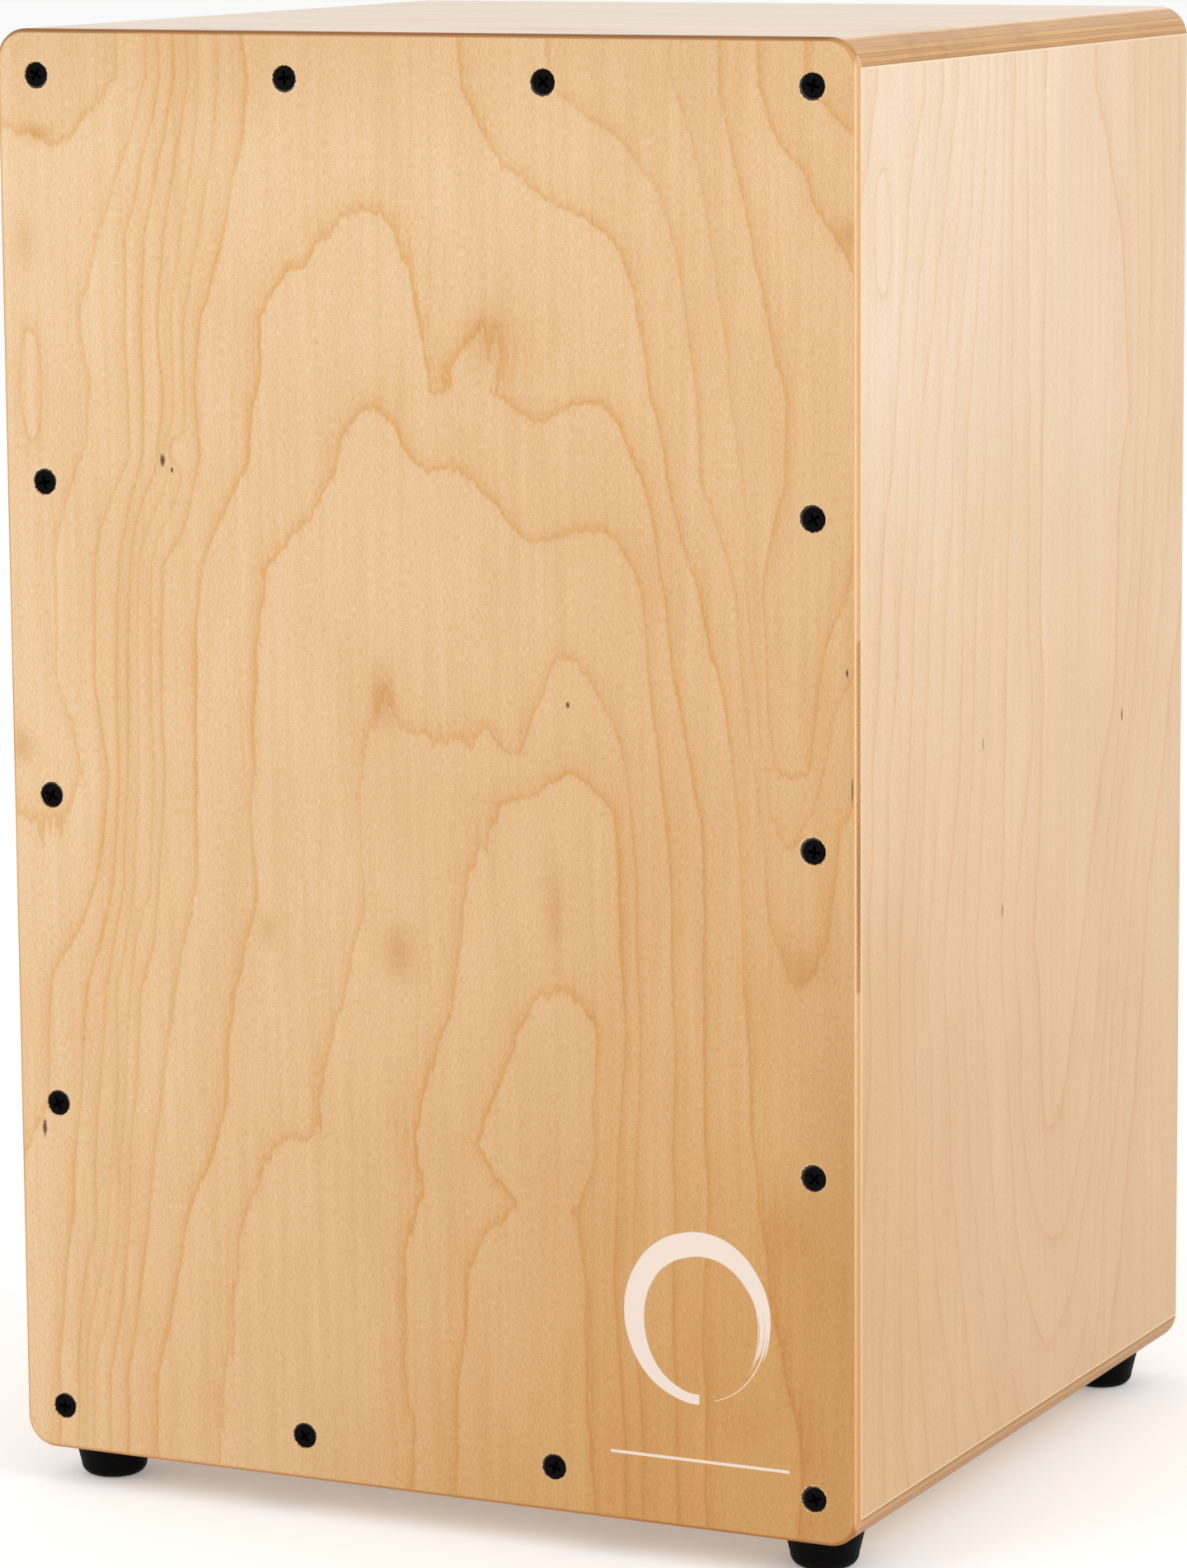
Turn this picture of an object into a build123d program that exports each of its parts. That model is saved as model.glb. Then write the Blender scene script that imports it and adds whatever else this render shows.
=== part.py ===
from build123d import *
from math import radians, sin
import os

# A cajon: a box drum that the player sits on. Four plywood walls make the shell, a thin striking
# plate (the tapa) is screwed to a frame at the front, and a back panel with a sound hole is let in
# at the rear. Four steel strings lie against the inside of the striking plate. A hex bolt under the
# floor of the box draws each pair of them tight, through a yoke that slides on a guide pin.
#
# Millimetres. +Z is up, the striking plate faces -Y, and the origin is on the floor under the middle.

# Overall sizes
BODY_WIDTH = 300.0
BODY_DEPTH = 285.0
BODY_HEIGHT = 467.5
FOOT_HEIGHT = 12.5
CORNER_RADIUS = 10.0

# Sheet and batten sizes
WALL = 9.0
TAPA = 3.0
BACK = 5.0
BACK_RECESS = 1.0
BACK_GAP = 0.2
BATTEN_WIDTH = 12.0
BATTEN_DEPTH = 15.0
TAPA_EDGE_RADIUS = 1.8
REAR_EDGE_RADIUS = 1.5
SAME_PLACE = 0.01

# Sound hole in the back panel
HOLE_RADIUS = 57.5
HOLE_HEIGHT = 300.0
HOLE_OUTER_FILLET = 1.2
HOLE_INNER_CHAMFER = 0.5

# Screws of the striking plate: four along the top and bottom, three more down each side
SCREW_INSET = 14.5
SCREW_PITCH = 102.5
TAPA_SCREW_LENGTH = 16.0
BACK_SCREW_LENGTH = 15.0
HEAD_RADIUS = 4.0
HEAD_RIM = 0.3
HEAD_SUNK = 0.15
THREAD_RADIUS = 1.9
CORE_RADIUS = 1.35
PILOT_PAST_TIP = 1.0
THREAD_PITCH = 1.6
THREAD_FLANK = 0.35
TIP_LENGTH = 2.6
DRIVE_SPAN = 4.4
DRIVE_BLADE = 1.0
DRIVE_DEPTH = 1.9
DRIVE_TAPER = 12.0
SCREW_TURN = 37.0
FIT_GAP = 0.06

# Rubber feet, each held by a pan head screw and a washer in its recess
FOOT_X = 129.5
FOOT_Y = 121.0
FOOT_TOP_RADIUS = 12.8
FOOT_LOW_RADIUS = 11.0
FOOT_ROUND = 4.0
FOOT_LIP = 1.0
FOOT_RECESS_RADIUS = 4.6
FOOT_RECESS_DEPTH = 6.5
FOOT_BORE_RADIUS = 2.1
FOOT_SCREW_LENGTH = 13.0
FOOT_SCREW_HEAD_RADIUS = 3.6
FOOT_SCREW_HEAD_HEIGHT = 2.2
FOOT_SCREW_HEAD_SIDE = 1.2
FOOT_SCREW_CROWN_RADIUS = 6.5
FOOT_SCREW_DRIVE_SPAN = 3.7
FOOT_WASHER_RADIUS = 4.4
FOOT_WASHER_THICKNESS = 1.0

# Strings and the two tension units
STRING_RADIUS = 0.5
STRING_TAPA_GAP = 0.2
TENSION_X = 60.0
YOKE_STRING_OFFSET = 15.0
TOP_STRING_OFFSET = 27.0
YOKE_LENGTH = 40.0
YOKE_DEPTH = 10.0
YOKE_HEIGHT = 10.0
YOKE_BOTTOM = 52.0
YOKE_STRING_SETBACK = 2.0
YOKE_STRING_HOLE = 0.9
YOKE_CORNER_RADIUS = 1.5
YOKE_CHAMFER = 0.5
BALL_RADIUS = 1.9
BALL_LENGTH = 3.2
BALL_BORE = 0.7
BALL_GAP = 0.1
BALL_SETBACK = 1.0
SLOT_WIDTH = 1.8
SLOT_DEPTH = 4.4
POCKET_RADIUS = 2.4
POCKET_ABOVE_RAIL = 6.5
BOLT_RADIUS = 2.5
BOLT_LENGTH = 55.0
BOLT_HEAD_RADIUS = 4.25
BOLT_HEAD_HEIGHT = 5.0
BOLT_HEX = 4.0
BOLT_HEX_DEPTH = 2.8
BOLT_CLEARANCE_RADIUS = 3.0
BOLT_CHAMFER = 0.5
BOLT_COUNTERBORE_RADIUS = 6.0
BOLT_SEAT_GAP = 0.05
BOLT_WASHER_RADIUS = 5.6
BOLT_WASHER_BORE = 2.75
BOLT_WASHER_THICKNESS = 1.0
BOLT_RUNNING_GAP = 0.05
PIN_RADIUS = 1.5
PIN_OFFSET = 8.0
PIN_LENGTH = 45.0
PIN_SUNK = 8.0
PIN_CHAMFER = 0.4

# Places that follow from the sizes
HALF_WIDTH = BODY_WIDTH / 2
FRONT = -BODY_DEPTH / 2
REAR = BODY_DEPTH / 2
FLOOR_UNDER = FOOT_HEIGHT
FLOOR_TOP = FLOOR_UNDER + WALL
SEAT_TOP = FLOOR_UNDER + BODY_HEIGHT
SEAT_UNDER = SEAT_TOP - WALL
MIDDLE_HEIGHT = (FLOOR_UNDER + SEAT_TOP) / 2
SHELL_FRONT = FRONT + TAPA
SHELL_DEPTH = REAR - SHELL_FRONT
INNER_HALF_WIDTH = HALF_WIDTH - WALL
INNER_HEIGHT = SEAT_UNDER - FLOOR_TOP
BACK_OUTER = REAR - BACK_RECESS
BACK_INNER = BACK_OUTER - BACK
RAIL_HALF_LENGTH = INNER_HALF_WIDTH - BATTEN_WIDTH
TAPA_SCREW_X = HALF_WIDTH - SCREW_INSET
BACK_SCREW_X = INNER_HALF_WIDTH - BATTEN_WIDTH / 2
TENSION_Y = SHELL_FRONT + BATTEN_DEPTH / 2
BOLT_SEAT = FLOOR_UNDER + BOLT_HEAD_HEIGHT
FOOT_WASHER_UNDER = FOOT_RECESS_DEPTH - FOOT_WASHER_THICKNESS
STRING_TOP_Y = SHELL_FRONT + STRING_TAPA_GAP + STRING_RADIUS
STRING_LOW_Y = TENSION_Y - YOKE_DEPTH / 2 + YOKE_STRING_SETBACK
TOP_RAIL_UNDER = SEAT_UNDER - BATTEN_WIDTH
BALL_TOP_Z = TOP_RAIL_UNDER + POCKET_ABOVE_RAIL
BALL_LOW_Z = YOKE_BOTTOM - BALL_GAP - BALL_RADIUS

SIDES = {"left": -1, "right": 1}
LEVELS = {"front": -1, "rear": 1}


def front_plane(x, z, y=FRONT):
    """A plane at (x, y, z) that looks out of the front."""
    return Plane(origin=(x, y, z), x_dir=(1, 0, 0), z_dir=(0, -1, 0))


def rear_plane(x, z, y=BACK_OUTER):
    """A plane at (x, y, z) that looks out of the rear."""
    return Plane(origin=(x, y, z), x_dir=(-1, 0, 0), z_dir=(0, 1, 0))


def under_plane(x, y, z):
    """A plane at (x, y, z) that looks down."""
    return Plane(origin=(x, y, z), x_dir=(1, 0, 0), z_dir=(0, 0, -1))


def tapa_screw_places():
    """(x, z) of the striking plate's screws. The gap under the top corners is the longest one."""
    low = FLOOR_UNDER + SCREW_INSET
    high = SEAT_TOP - SCREW_INSET
    across = [TAPA_SCREW_X * k / 3 for k in (-3, -1, 1, 3)]
    ends = [(x, z) for z in (low, high) for x in across]
    down = [(side * TAPA_SCREW_X, low + k * SCREW_PITCH) for side in SIDES.values() for k in (1, 2, 3)]
    return ends + down


def back_screw_places():
    """(x, z) of the back panel's screws."""
    low = FLOOR_TOP + BATTEN_WIDTH / 2
    high = SEAT_UNDER - BATTEN_WIDTH / 2
    heights = [low + k * (high - low) / 3 for k in range(4)]
    down = [(side * BACK_SCREW_X, z) for side in SIDES.values() for z in heights]
    return down + [(0, low), (0, high)]


def foot_places():
    """(x, y) of the feet, by name."""
    return {
        f"{level}_{side}": (sx * FOOT_X, sy * FOOT_Y)
        for level, sy in LEVELS.items()
        for side, sx in SIDES.items()
    }


def string_places():
    """Low and high x of the four strings, by name. Each pair spreads upwards from its yoke."""
    places = {}
    for side, sx in SIDES.items():
        for name, sign in (("outer", 1), ("inner", -1)):
            low = sx * (TENSION_X + sign * YOKE_STRING_OFFSET)
            high = sx * (TENSION_X + sign * TOP_STRING_OFFSET)
            places[f"{side}_{name}"] = (low, high)
    return places


def write(part, name):
    """Labels a finished piece and writes it as parts/NAME.step."""
    part.label = name
    export_step(part, f"parts/{name}.step")


# ---------------------------------------------------------------- shell


def shell_wall(x_low, x_high, z_low, z_high):
    """One wall: the strip of the shell's rounded outline inside the given limits, run front to back."""
    with BuildPart() as wall:
        with BuildSketch(Plane.XZ.offset(-REAR)):
            with Locations((0, MIDDLE_HEIGHT)):
                RectangleRounded(BODY_WIDTH, BODY_HEIGHT, CORNER_RADIUS)
            with Locations(((x_low + x_high) / 2, (z_low + z_high) / 2)):
                Rectangle(x_high - x_low, z_high - z_low, mode=Mode.INTERSECT)
        extrude(amount=SHELL_DEPTH)
    return wall


def on_outline(edge):
    """True for an edge on the outside of the shell, and not one of a joint or of the inside."""
    centre = edge.center()
    at_joint = abs(abs(centre.Z - MIDDLE_HEIGHT) - INNER_HEIGHT / 2) < SAME_PLACE
    inside = abs(abs(centre.X) - INNER_HALF_WIDTH) < SAME_PLACE
    return not at_joint and not inside


def outer_rear_edges(wall):
    """The rear edges of a wall that show on the outside."""
    return wall.edges().group_by(Axis.Y)[-1].filter_by(on_outline)


def top_wall():
    with BuildPart() as wall:
        add(shell_wall(-HALF_WIDTH, HALF_WIDTH, SEAT_UNDER, SEAT_TOP).part)
        fillet(outer_rear_edges(wall), REAR_EDGE_RADIUS)
    return wall


def bottom_wall():
    with BuildPart() as wall:
        add(shell_wall(-HALF_WIDTH, HALF_WIDTH, FLOOR_UNDER, FLOOR_TOP).part)
        fillet(outer_rear_edges(wall), REAR_EDGE_RADIUS)
        with Locations(*(under_plane(x, y, FLOOR_UNDER) for x, y in foot_places().values())):
            Hole(THREAD_RADIUS + FIT_GAP, depth=WALL - PILOT_PAST_TIP)
        with Locations(*(under_plane(sx * TENSION_X, TENSION_Y, FLOOR_UNDER) for sx in SIDES.values())):
            CounterBoreHole(
                BOLT_CLEARANCE_RADIUS,
                BOLT_COUNTERBORE_RADIUS,
                BOLT_HEAD_HEIGHT + BOLT_WASHER_THICKNESS,
            )
    return wall


def side_wall(sx):
    x_low, x_high = sorted((sx * INNER_HALF_WIDTH, sx * HALF_WIDTH))
    with BuildPart() as wall:
        add(shell_wall(x_low, x_high, FLOOR_TOP, SEAT_UNDER).part)
        fillet(outer_rear_edges(wall), REAR_EDGE_RADIUS)
    return wall


def striking_plate():
    with BuildPart() as tapa:
        with BuildSketch(front_plane(0, MIDDLE_HEIGHT, SHELL_FRONT)):
            RectangleRounded(BODY_WIDTH, BODY_HEIGHT, CORNER_RADIUS)
        extrude(amount=TAPA)
        fillet(tapa.edges().group_by(Axis.Y)[0], TAPA_EDGE_RADIUS)
        with Locations(*(front_plane(x, z) for x, z in tapa_screw_places())):
            CounterSinkHole(THREAD_RADIUS + FIT_GAP, HEAD_RADIUS + HEAD_SUNK, counter_sink_angle=90)
    return tapa


def back_panel():
    with BuildPart() as panel:
        with BuildSketch(rear_plane(0, MIDDLE_HEIGHT, BACK_INNER)):
            Rectangle(2 * (INNER_HALF_WIDTH - BACK_GAP), INNER_HEIGHT - 2 * BACK_GAP)
        extrude(amount=BACK)
        with Locations(rear_plane(0, HOLE_HEIGHT)):
            Hole(HOLE_RADIUS)
        rims = panel.edges().filter_by(GeomType.CIRCLE).sort_by(Axis.Y)
        fillet(rims[-1], HOLE_OUTER_FILLET)
        chamfer(panel.edges().filter_by(GeomType.CIRCLE).sort_by(Axis.Y)[0], HOLE_INNER_CHAMFER)
        with Locations(*(rear_plane(x, z) for x, z in back_screw_places())):
            CounterSinkHole(THREAD_RADIUS + FIT_GAP, HEAD_RADIUS + HEAD_SUNK, counter_sink_angle=90)
    return panel


# ---------------------------------------------------------------- battens


def front_batten(x_low, x_high, z_low, z_high):
    """A batten behind the striking plate, with the pilot holes of the screws that reach it."""
    middle = ((x_low + x_high) / 2, (z_low + z_high) / 2)
    with BuildPart() as batten:
        with BuildSketch(front_plane(*middle, SHELL_FRONT + BATTEN_DEPTH)):
            Rectangle(x_high - x_low, z_high - z_low)
        extrude(amount=BATTEN_DEPTH)
        reached = [(x, z) for x, z in tapa_screw_places() if x_low < x < x_high and z_low < z < z_high]
        with Locations(*(front_plane(x, z, SHELL_FRONT) for x, z in reached)):
            Hole(THREAD_RADIUS + FIT_GAP, depth=TAPA_SCREW_LENGTH - TAPA + PILOT_PAST_TIP)
    return batten


def rear_batten(x_low, x_high, z_low, z_high):
    """A batten that the back panel is screwed to."""
    middle = ((x_low + x_high) / 2, (z_low + z_high) / 2)
    with BuildPart() as batten:
        with BuildSketch(rear_plane(*middle, BACK_INNER - BATTEN_DEPTH)):
            Rectangle(x_high - x_low, z_high - z_low)
        extrude(amount=BATTEN_DEPTH)
        reached = [(x, z) for x, z in back_screw_places() if x_low < x < x_high and z_low < z < z_high]
        with Locations(*(rear_plane(x, z, BACK_INNER) for x, z in reached)):
            Hole(THREAD_RADIUS + FIT_GAP, depth=BACK_SCREW_LENGTH - BACK + PILOT_PAST_TIP)
    return batten


def batten_limits():
    """x and z limits of the four battens of a frame, by name. The stiles run the full height."""
    stile = (FLOOR_TOP, SEAT_UNDER)
    return {
        "left_stile": (-INNER_HALF_WIDTH, -RAIL_HALF_LENGTH, *stile),
        "right_stile": (RAIL_HALF_LENGTH, INNER_HALF_WIDTH, *stile),
        "top_rail": (-RAIL_HALF_LENGTH, RAIL_HALF_LENGTH, TOP_RAIL_UNDER, SEAT_UNDER),
        "bottom_rail": (-RAIL_HALF_LENGTH, RAIL_HALF_LENGTH, FLOOR_TOP, FLOOR_TOP + BATTEN_WIDTH),
    }


def front_top_rail(limits):
    """The rail that holds the strings' upper ends: a pocket for each ball end, and a slot below it."""
    slot_height = BALL_TOP_Z - TOP_RAIL_UNDER
    with BuildPart() as rail:
        add(front_batten(*limits).part)
        for _, x in string_places().values():
            with BuildSketch(front_plane(x, TOP_RAIL_UNDER + slot_height / 2, SHELL_FRONT)):
                Rectangle(SLOT_WIDTH, slot_height)
            extrude(amount=-SLOT_DEPTH, mode=Mode.SUBTRACT)
            with Locations(front_plane(x, BALL_TOP_Z, SHELL_FRONT)):
                Hole(POCKET_RADIUS, depth=SLOT_DEPTH)
    return rail


def front_bottom_rail(limits):
    """The rail that the tension bolts pass through and the guide pins stand in."""
    rail_top = FLOOR_TOP + BATTEN_WIDTH
    with BuildPart() as rail:
        add(front_batten(*limits).part)
        with Locations(*((sx * TENSION_X, TENSION_Y, rail_top) for sx in SIDES.values())):
            Hole(BOLT_CLEARANCE_RADIUS)
        with Locations(*((sx * (TENSION_X + PIN_OFFSET), TENSION_Y, rail_top) for sx in SIDES.values())):
            Hole(PIN_RADIUS, depth=PIN_SUNK)
    return rail


# ---------------------------------------------------------------- fasteners


def thread_profile(start, length):
    """Points down one side of a ridged shank, from z = start to its tip at z = -length."""
    points = []
    z = start
    while z - THREAD_PITCH > TIP_LENGTH - length:
        points += [
            (THREAD_RADIUS, z - THREAD_FLANK),
            (THREAD_RADIUS, z - 2 * THREAD_FLANK),
            (CORE_RADIUS, z - 3 * THREAD_FLANK),
            (CORE_RADIUS, z - THREAD_PITCH),
        ]
        z -= THREAD_PITCH
    return points + [(CORE_RADIUS, TIP_LENGTH - length), (0, -length)]


def countersunk_screw(length):
    """A flat head screw with its head's top at z = 0 and its tip at z = -length."""
    cone_end = CORE_RADIUS - HEAD_RADIUS
    with BuildPart() as screw:
        with BuildSketch(Plane.XZ):
            with BuildLine():
                outline = [
                    (0, 0),
                    (HEAD_RADIUS - 2 * HEAD_RIM, 0),
                    (HEAD_RADIUS - HEAD_RIM, -HEAD_RIM / 2),
                    (HEAD_RADIUS - HEAD_RIM - FIT_GAP, -HEAD_RIM),
                    (CORE_RADIUS - FIT_GAP, cone_end),
                    *thread_profile(cone_end, length),
                ]
                Polyline(*outline, close=True)
            make_face()
        revolve(axis=Axis.Z)
        with BuildSketch(Plane.XY):
            Rectangle(DRIVE_SPAN, DRIVE_BLADE)
            Rectangle(DRIVE_BLADE, DRIVE_SPAN)
        extrude(amount=-DRIVE_DEPTH, taper=DRIVE_TAPER, mode=Mode.SUBTRACT)
    return screw


def pan_screw(length):
    """A pan head screw with the underside of its head at z = 0 and its tip at z = -length."""
    crown = (0, FOOT_SCREW_HEAD_HEIGHT)
    shoulder = (FOOT_SCREW_HEAD_RADIUS, FOOT_SCREW_HEAD_SIDE)
    with BuildPart() as screw:
        with BuildSketch(Plane.XZ):
            with BuildLine():
                RadiusArc(crown, shoulder, FOOT_SCREW_CROWN_RADIUS)
                Polyline(
                    shoulder,
                    (FOOT_SCREW_HEAD_RADIUS, 0),
                    (CORE_RADIUS, 0),
                    *thread_profile(0, length),
                    crown,
                )
            make_face()
        revolve(axis=Axis.Z)
        with BuildSketch(Plane.XY.offset(FOOT_SCREW_HEAD_HEIGHT)):
            Rectangle(FOOT_SCREW_DRIVE_SPAN, DRIVE_BLADE)
            Rectangle(DRIVE_BLADE, FOOT_SCREW_DRIVE_SPAN)
        extrude(amount=-DRIVE_DEPTH, taper=DRIVE_TAPER, mode=Mode.SUBTRACT)
    return screw


def screws_at(screw, planes):
    """The same screw at each plane, each driven home a little further round than the last."""
    with BuildPart() as group:
        with Locations(*(plane.location * Rotation(0, 0, SCREW_TURN * i) for i, plane in enumerate(planes))):
            add(screw.part)
    return group


def washers_at(planes, outer, inner, thickness):
    """A flat washer on each plane."""
    with BuildPart() as group:
        for plane in planes:
            with BuildSketch(plane):
                Circle(outer)
                Circle(inner, mode=Mode.SUBTRACT)
            extrude(amount=thickness)
    return group


# ---------------------------------------------------------------- feet


def rubber_foot(x, y):
    """A tapered rubber foot with a rounded tread, and a recess from below for its screw."""
    tread_edge = (FOOT_LOW_RADIUS - FOOT_ROUND, 0)
    side_low = (FOOT_LOW_RADIUS, FOOT_ROUND)
    diagonal = FOOT_ROUND * sin(radians(45))
    round_middle = (FOOT_LOW_RADIUS - FOOT_ROUND + diagonal, FOOT_ROUND - diagonal)
    with BuildPart() as foot:
        with BuildSketch(front_plane(x, 0, y)):
            with BuildLine():
                Polyline(
                    tread_edge,
                    (FOOT_RECESS_RADIUS, 0),
                    (FOOT_RECESS_RADIUS, FOOT_RECESS_DEPTH),
                    (FOOT_BORE_RADIUS, FOOT_RECESS_DEPTH),
                    (FOOT_BORE_RADIUS, FOOT_HEIGHT),
                    (FOOT_TOP_RADIUS, FOOT_HEIGHT),
                    (FOOT_TOP_RADIUS, FOOT_HEIGHT - FOOT_LIP),
                    side_low,
                )
                ThreePointArc(side_low, round_middle, tread_edge)
            make_face()
        revolve(axis=Axis((x, y, 0), (0, 0, 1)))
    return foot


# ---------------------------------------------------------------- strings and tension units


def string(x_low, x_high):
    """A straight string from its ball end under the yoke to its ball end in the top rail."""
    low = Vector(x_low, STRING_LOW_Y, YOKE_BOTTOM)
    high = Vector(x_high, STRING_TOP_Y, BALL_TOP_Z - BALL_RADIUS - BALL_GAP)
    with BuildPart() as wire:
        with BuildSketch(Plane(origin=low, z_dir=high - low)):
            Circle(STRING_RADIUS)
        extrude(amount=(high - low).length)
    return wire


def ball_ends(places):
    """The spool-shaped ball ends of strings, each with its bore from front to back."""
    with BuildPart() as balls:
        for x, y, z in places:
            with BuildSketch(front_plane(x, z, y + BALL_LENGTH / 2)):
                Circle(BALL_RADIUS)
                Circle(BALL_BORE, mode=Mode.SUBTRACT)
            extrude(amount=BALL_LENGTH)
    return balls


def yoke(sx):
    """The aluminium block that a bolt draws down, with holes for the bolt, guide pin and strings."""
    top = YOKE_BOTTOM + YOKE_HEIGHT
    with BuildPart() as block:
        with BuildSketch(Plane.XY.offset(YOKE_BOTTOM)):
            with Locations((sx * TENSION_X, TENSION_Y)):
                RectangleRounded(YOKE_LENGTH, YOKE_DEPTH, YOKE_CORNER_RADIUS)
        extrude(amount=YOKE_HEIGHT)
        chamfer(block.edges().group_by(Axis.Z)[-1] + block.edges().group_by(Axis.Z)[0], YOKE_CHAMFER)
        with Locations((sx * TENSION_X, TENSION_Y, top)):
            Hole(BOLT_RADIUS + BOLT_RUNNING_GAP)
        with Locations((sx * (TENSION_X + PIN_OFFSET), TENSION_Y, top)):
            Hole(PIN_RADIUS + BOLT_RUNNING_GAP)
        with GridLocations(2 * YOKE_STRING_OFFSET, 0, 2, 1):
            with Locations((sx * TENSION_X, STRING_LOW_Y, top)):
                Hole(YOKE_STRING_HOLE)
    return block


def tension_bolt(sx):
    """A hex socket bolt that stands head down in the floor of the box."""
    head_top = BOLT_SEAT - BOLT_SEAT_GAP
    with BuildPart() as bolt:
        with BuildSketch(Plane.XY.offset(FLOOR_UNDER)):
            with Locations((sx * TENSION_X, TENSION_Y)):
                Circle(BOLT_HEAD_RADIUS)
        extrude(amount=BOLT_HEAD_HEIGHT - BOLT_SEAT_GAP)
        chamfer(bolt.edges().group_by(Axis.Z)[0], BOLT_CHAMFER)
        with BuildSketch(Plane.XY.offset(head_top)):
            with Locations((sx * TENSION_X, TENSION_Y)):
                Circle(BOLT_RADIUS)
        extrude(amount=BOLT_LENGTH)
        chamfer(bolt.edges().group_by(Axis.Z)[-1], BOLT_CHAMFER)
        with BuildSketch(Plane.XY.offset(FLOOR_UNDER)):
            with Locations((sx * TENSION_X, TENSION_Y)):
                RegularPolygon(BOLT_HEX / 2, 6, major_radius=False)
        extrude(amount=BOLT_HEX_DEPTH, mode=Mode.SUBTRACT)
    return bolt


def guide_pins():
    """Steel pins that stand in the bottom rail and keep the yokes from turning."""
    with BuildPart() as pins:
        for sx in SIDES.values():
            with BuildSketch(Plane.XY.offset(FLOOR_TOP + BATTEN_WIDTH - PIN_SUNK)):
                with Locations((sx * (TENSION_X + PIN_OFFSET), TENSION_Y)):
                    Circle(PIN_RADIUS)
            extrude(amount=PIN_LENGTH)
        chamfer(pins.edges().group_by(Axis.Z)[-1], PIN_CHAMFER)
    return pins


# ---------------------------------------------------------------- all the pieces

os.makedirs("parts", exist_ok=True)

write(top_wall().part, "top_panel")
write(bottom_wall().part, "bottom_panel")
for side, sx in SIDES.items():
    write(side_wall(sx).part, f"{side}_panel")
write(striking_plate().part, "tapa")
write(back_panel().part, "back_panel")

for name, limits in batten_limits().items():
    write(rear_batten(*limits).part, f"rear_{name}")
    if name == "top_rail":
        write(front_top_rail(limits).part, "front_top_rail")
    elif name == "bottom_rail":
        write(front_bottom_rail(limits).part, "front_bottom_rail")
    else:
        write(front_batten(*limits).part, f"front_{name}")

tapa_screw_planes = [front_plane(x, z, FRONT + HEAD_SUNK) for x, z in tapa_screw_places()]
write(screws_at(countersunk_screw(TAPA_SCREW_LENGTH), tapa_screw_planes).part, "tapa_screws")
back_screw_planes = [rear_plane(x, z, BACK_OUTER - HEAD_SUNK) for x, z in back_screw_places()]
write(screws_at(countersunk_screw(BACK_SCREW_LENGTH), back_screw_planes).part, "back_panel_screws")

for name, (x, y) in foot_places().items():
    write(rubber_foot(x, y).part, f"{name}_foot")
foot_washer_planes = [Plane(origin=(x, y, FOOT_WASHER_UNDER)) for x, y in foot_places().values()]
foot_washers = washers_at(foot_washer_planes, FOOT_WASHER_RADIUS, FOOT_BORE_RADIUS, FOOT_WASHER_THICKNESS)
write(foot_washers.part, "foot_washers")
foot_screw_planes = [under_plane(x, y, FOOT_WASHER_UNDER) for x, y in foot_places().values()]
write(screws_at(pan_screw(FOOT_SCREW_LENGTH), foot_screw_planes).part, "foot_screws")

for name, (x_low, x_high) in string_places().items():
    write(string(x_low, x_high).part, f"string_{name}")
top_balls = [(x, STRING_TOP_Y + BALL_SETBACK, BALL_TOP_Z) for _, x in string_places().values()]
write(ball_ends(top_balls).part, "upper_ball_ends")
for side, sx in SIDES.items():
    low_balls = [
        (x, STRING_LOW_Y, BALL_LOW_Z) for name, (x, _) in string_places().items() if name.startswith(side)
    ]
    write(ball_ends(low_balls).part, f"{side}_ball_ends")
    write(yoke(sx).part, f"{side}_yoke")
    write(tension_bolt(sx).part, f"{side}_tension_bolt")
bolt_washer_planes = [Plane(origin=(sx * TENSION_X, TENSION_Y, BOLT_SEAT)) for sx in SIDES.values()]
bolt_washers = washers_at(bolt_washer_planes, BOLT_WASHER_RADIUS, BOLT_WASHER_BORE, BOLT_WASHER_THICKNESS)
write(bolt_washers.part, "bolt_washers")
write(guide_pins().part, "guide_pins")
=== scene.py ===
import math

import bpy
from mathutils import Matrix, Vector


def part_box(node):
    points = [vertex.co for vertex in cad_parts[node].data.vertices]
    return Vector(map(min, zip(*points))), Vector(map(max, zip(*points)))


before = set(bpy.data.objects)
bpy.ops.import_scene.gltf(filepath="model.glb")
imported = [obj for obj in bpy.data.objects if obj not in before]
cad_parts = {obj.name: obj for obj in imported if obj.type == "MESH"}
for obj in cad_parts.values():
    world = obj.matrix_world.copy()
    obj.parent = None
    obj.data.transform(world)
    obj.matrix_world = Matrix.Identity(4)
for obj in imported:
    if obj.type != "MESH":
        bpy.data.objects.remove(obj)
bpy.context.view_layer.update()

MM = 0.001

# The lowest and the highest corner of each of these pieces at rest, in millimetres
tapa_low, tapa_high = (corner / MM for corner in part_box("tapa"))
top_low, top_high = (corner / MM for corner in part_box("top_panel"))
bottom_low, bottom_high = (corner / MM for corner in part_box("bottom_panel"))
right_low, right_high = (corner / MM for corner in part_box("right_panel"))
left_low, left_high = (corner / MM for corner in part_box("left_panel"))
back_low, back_high = (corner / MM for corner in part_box("back_panel"))
screws_low, screws_high = (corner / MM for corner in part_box("tapa_screws"))

# ---------------------------------------------------------------- shader nodes


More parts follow.
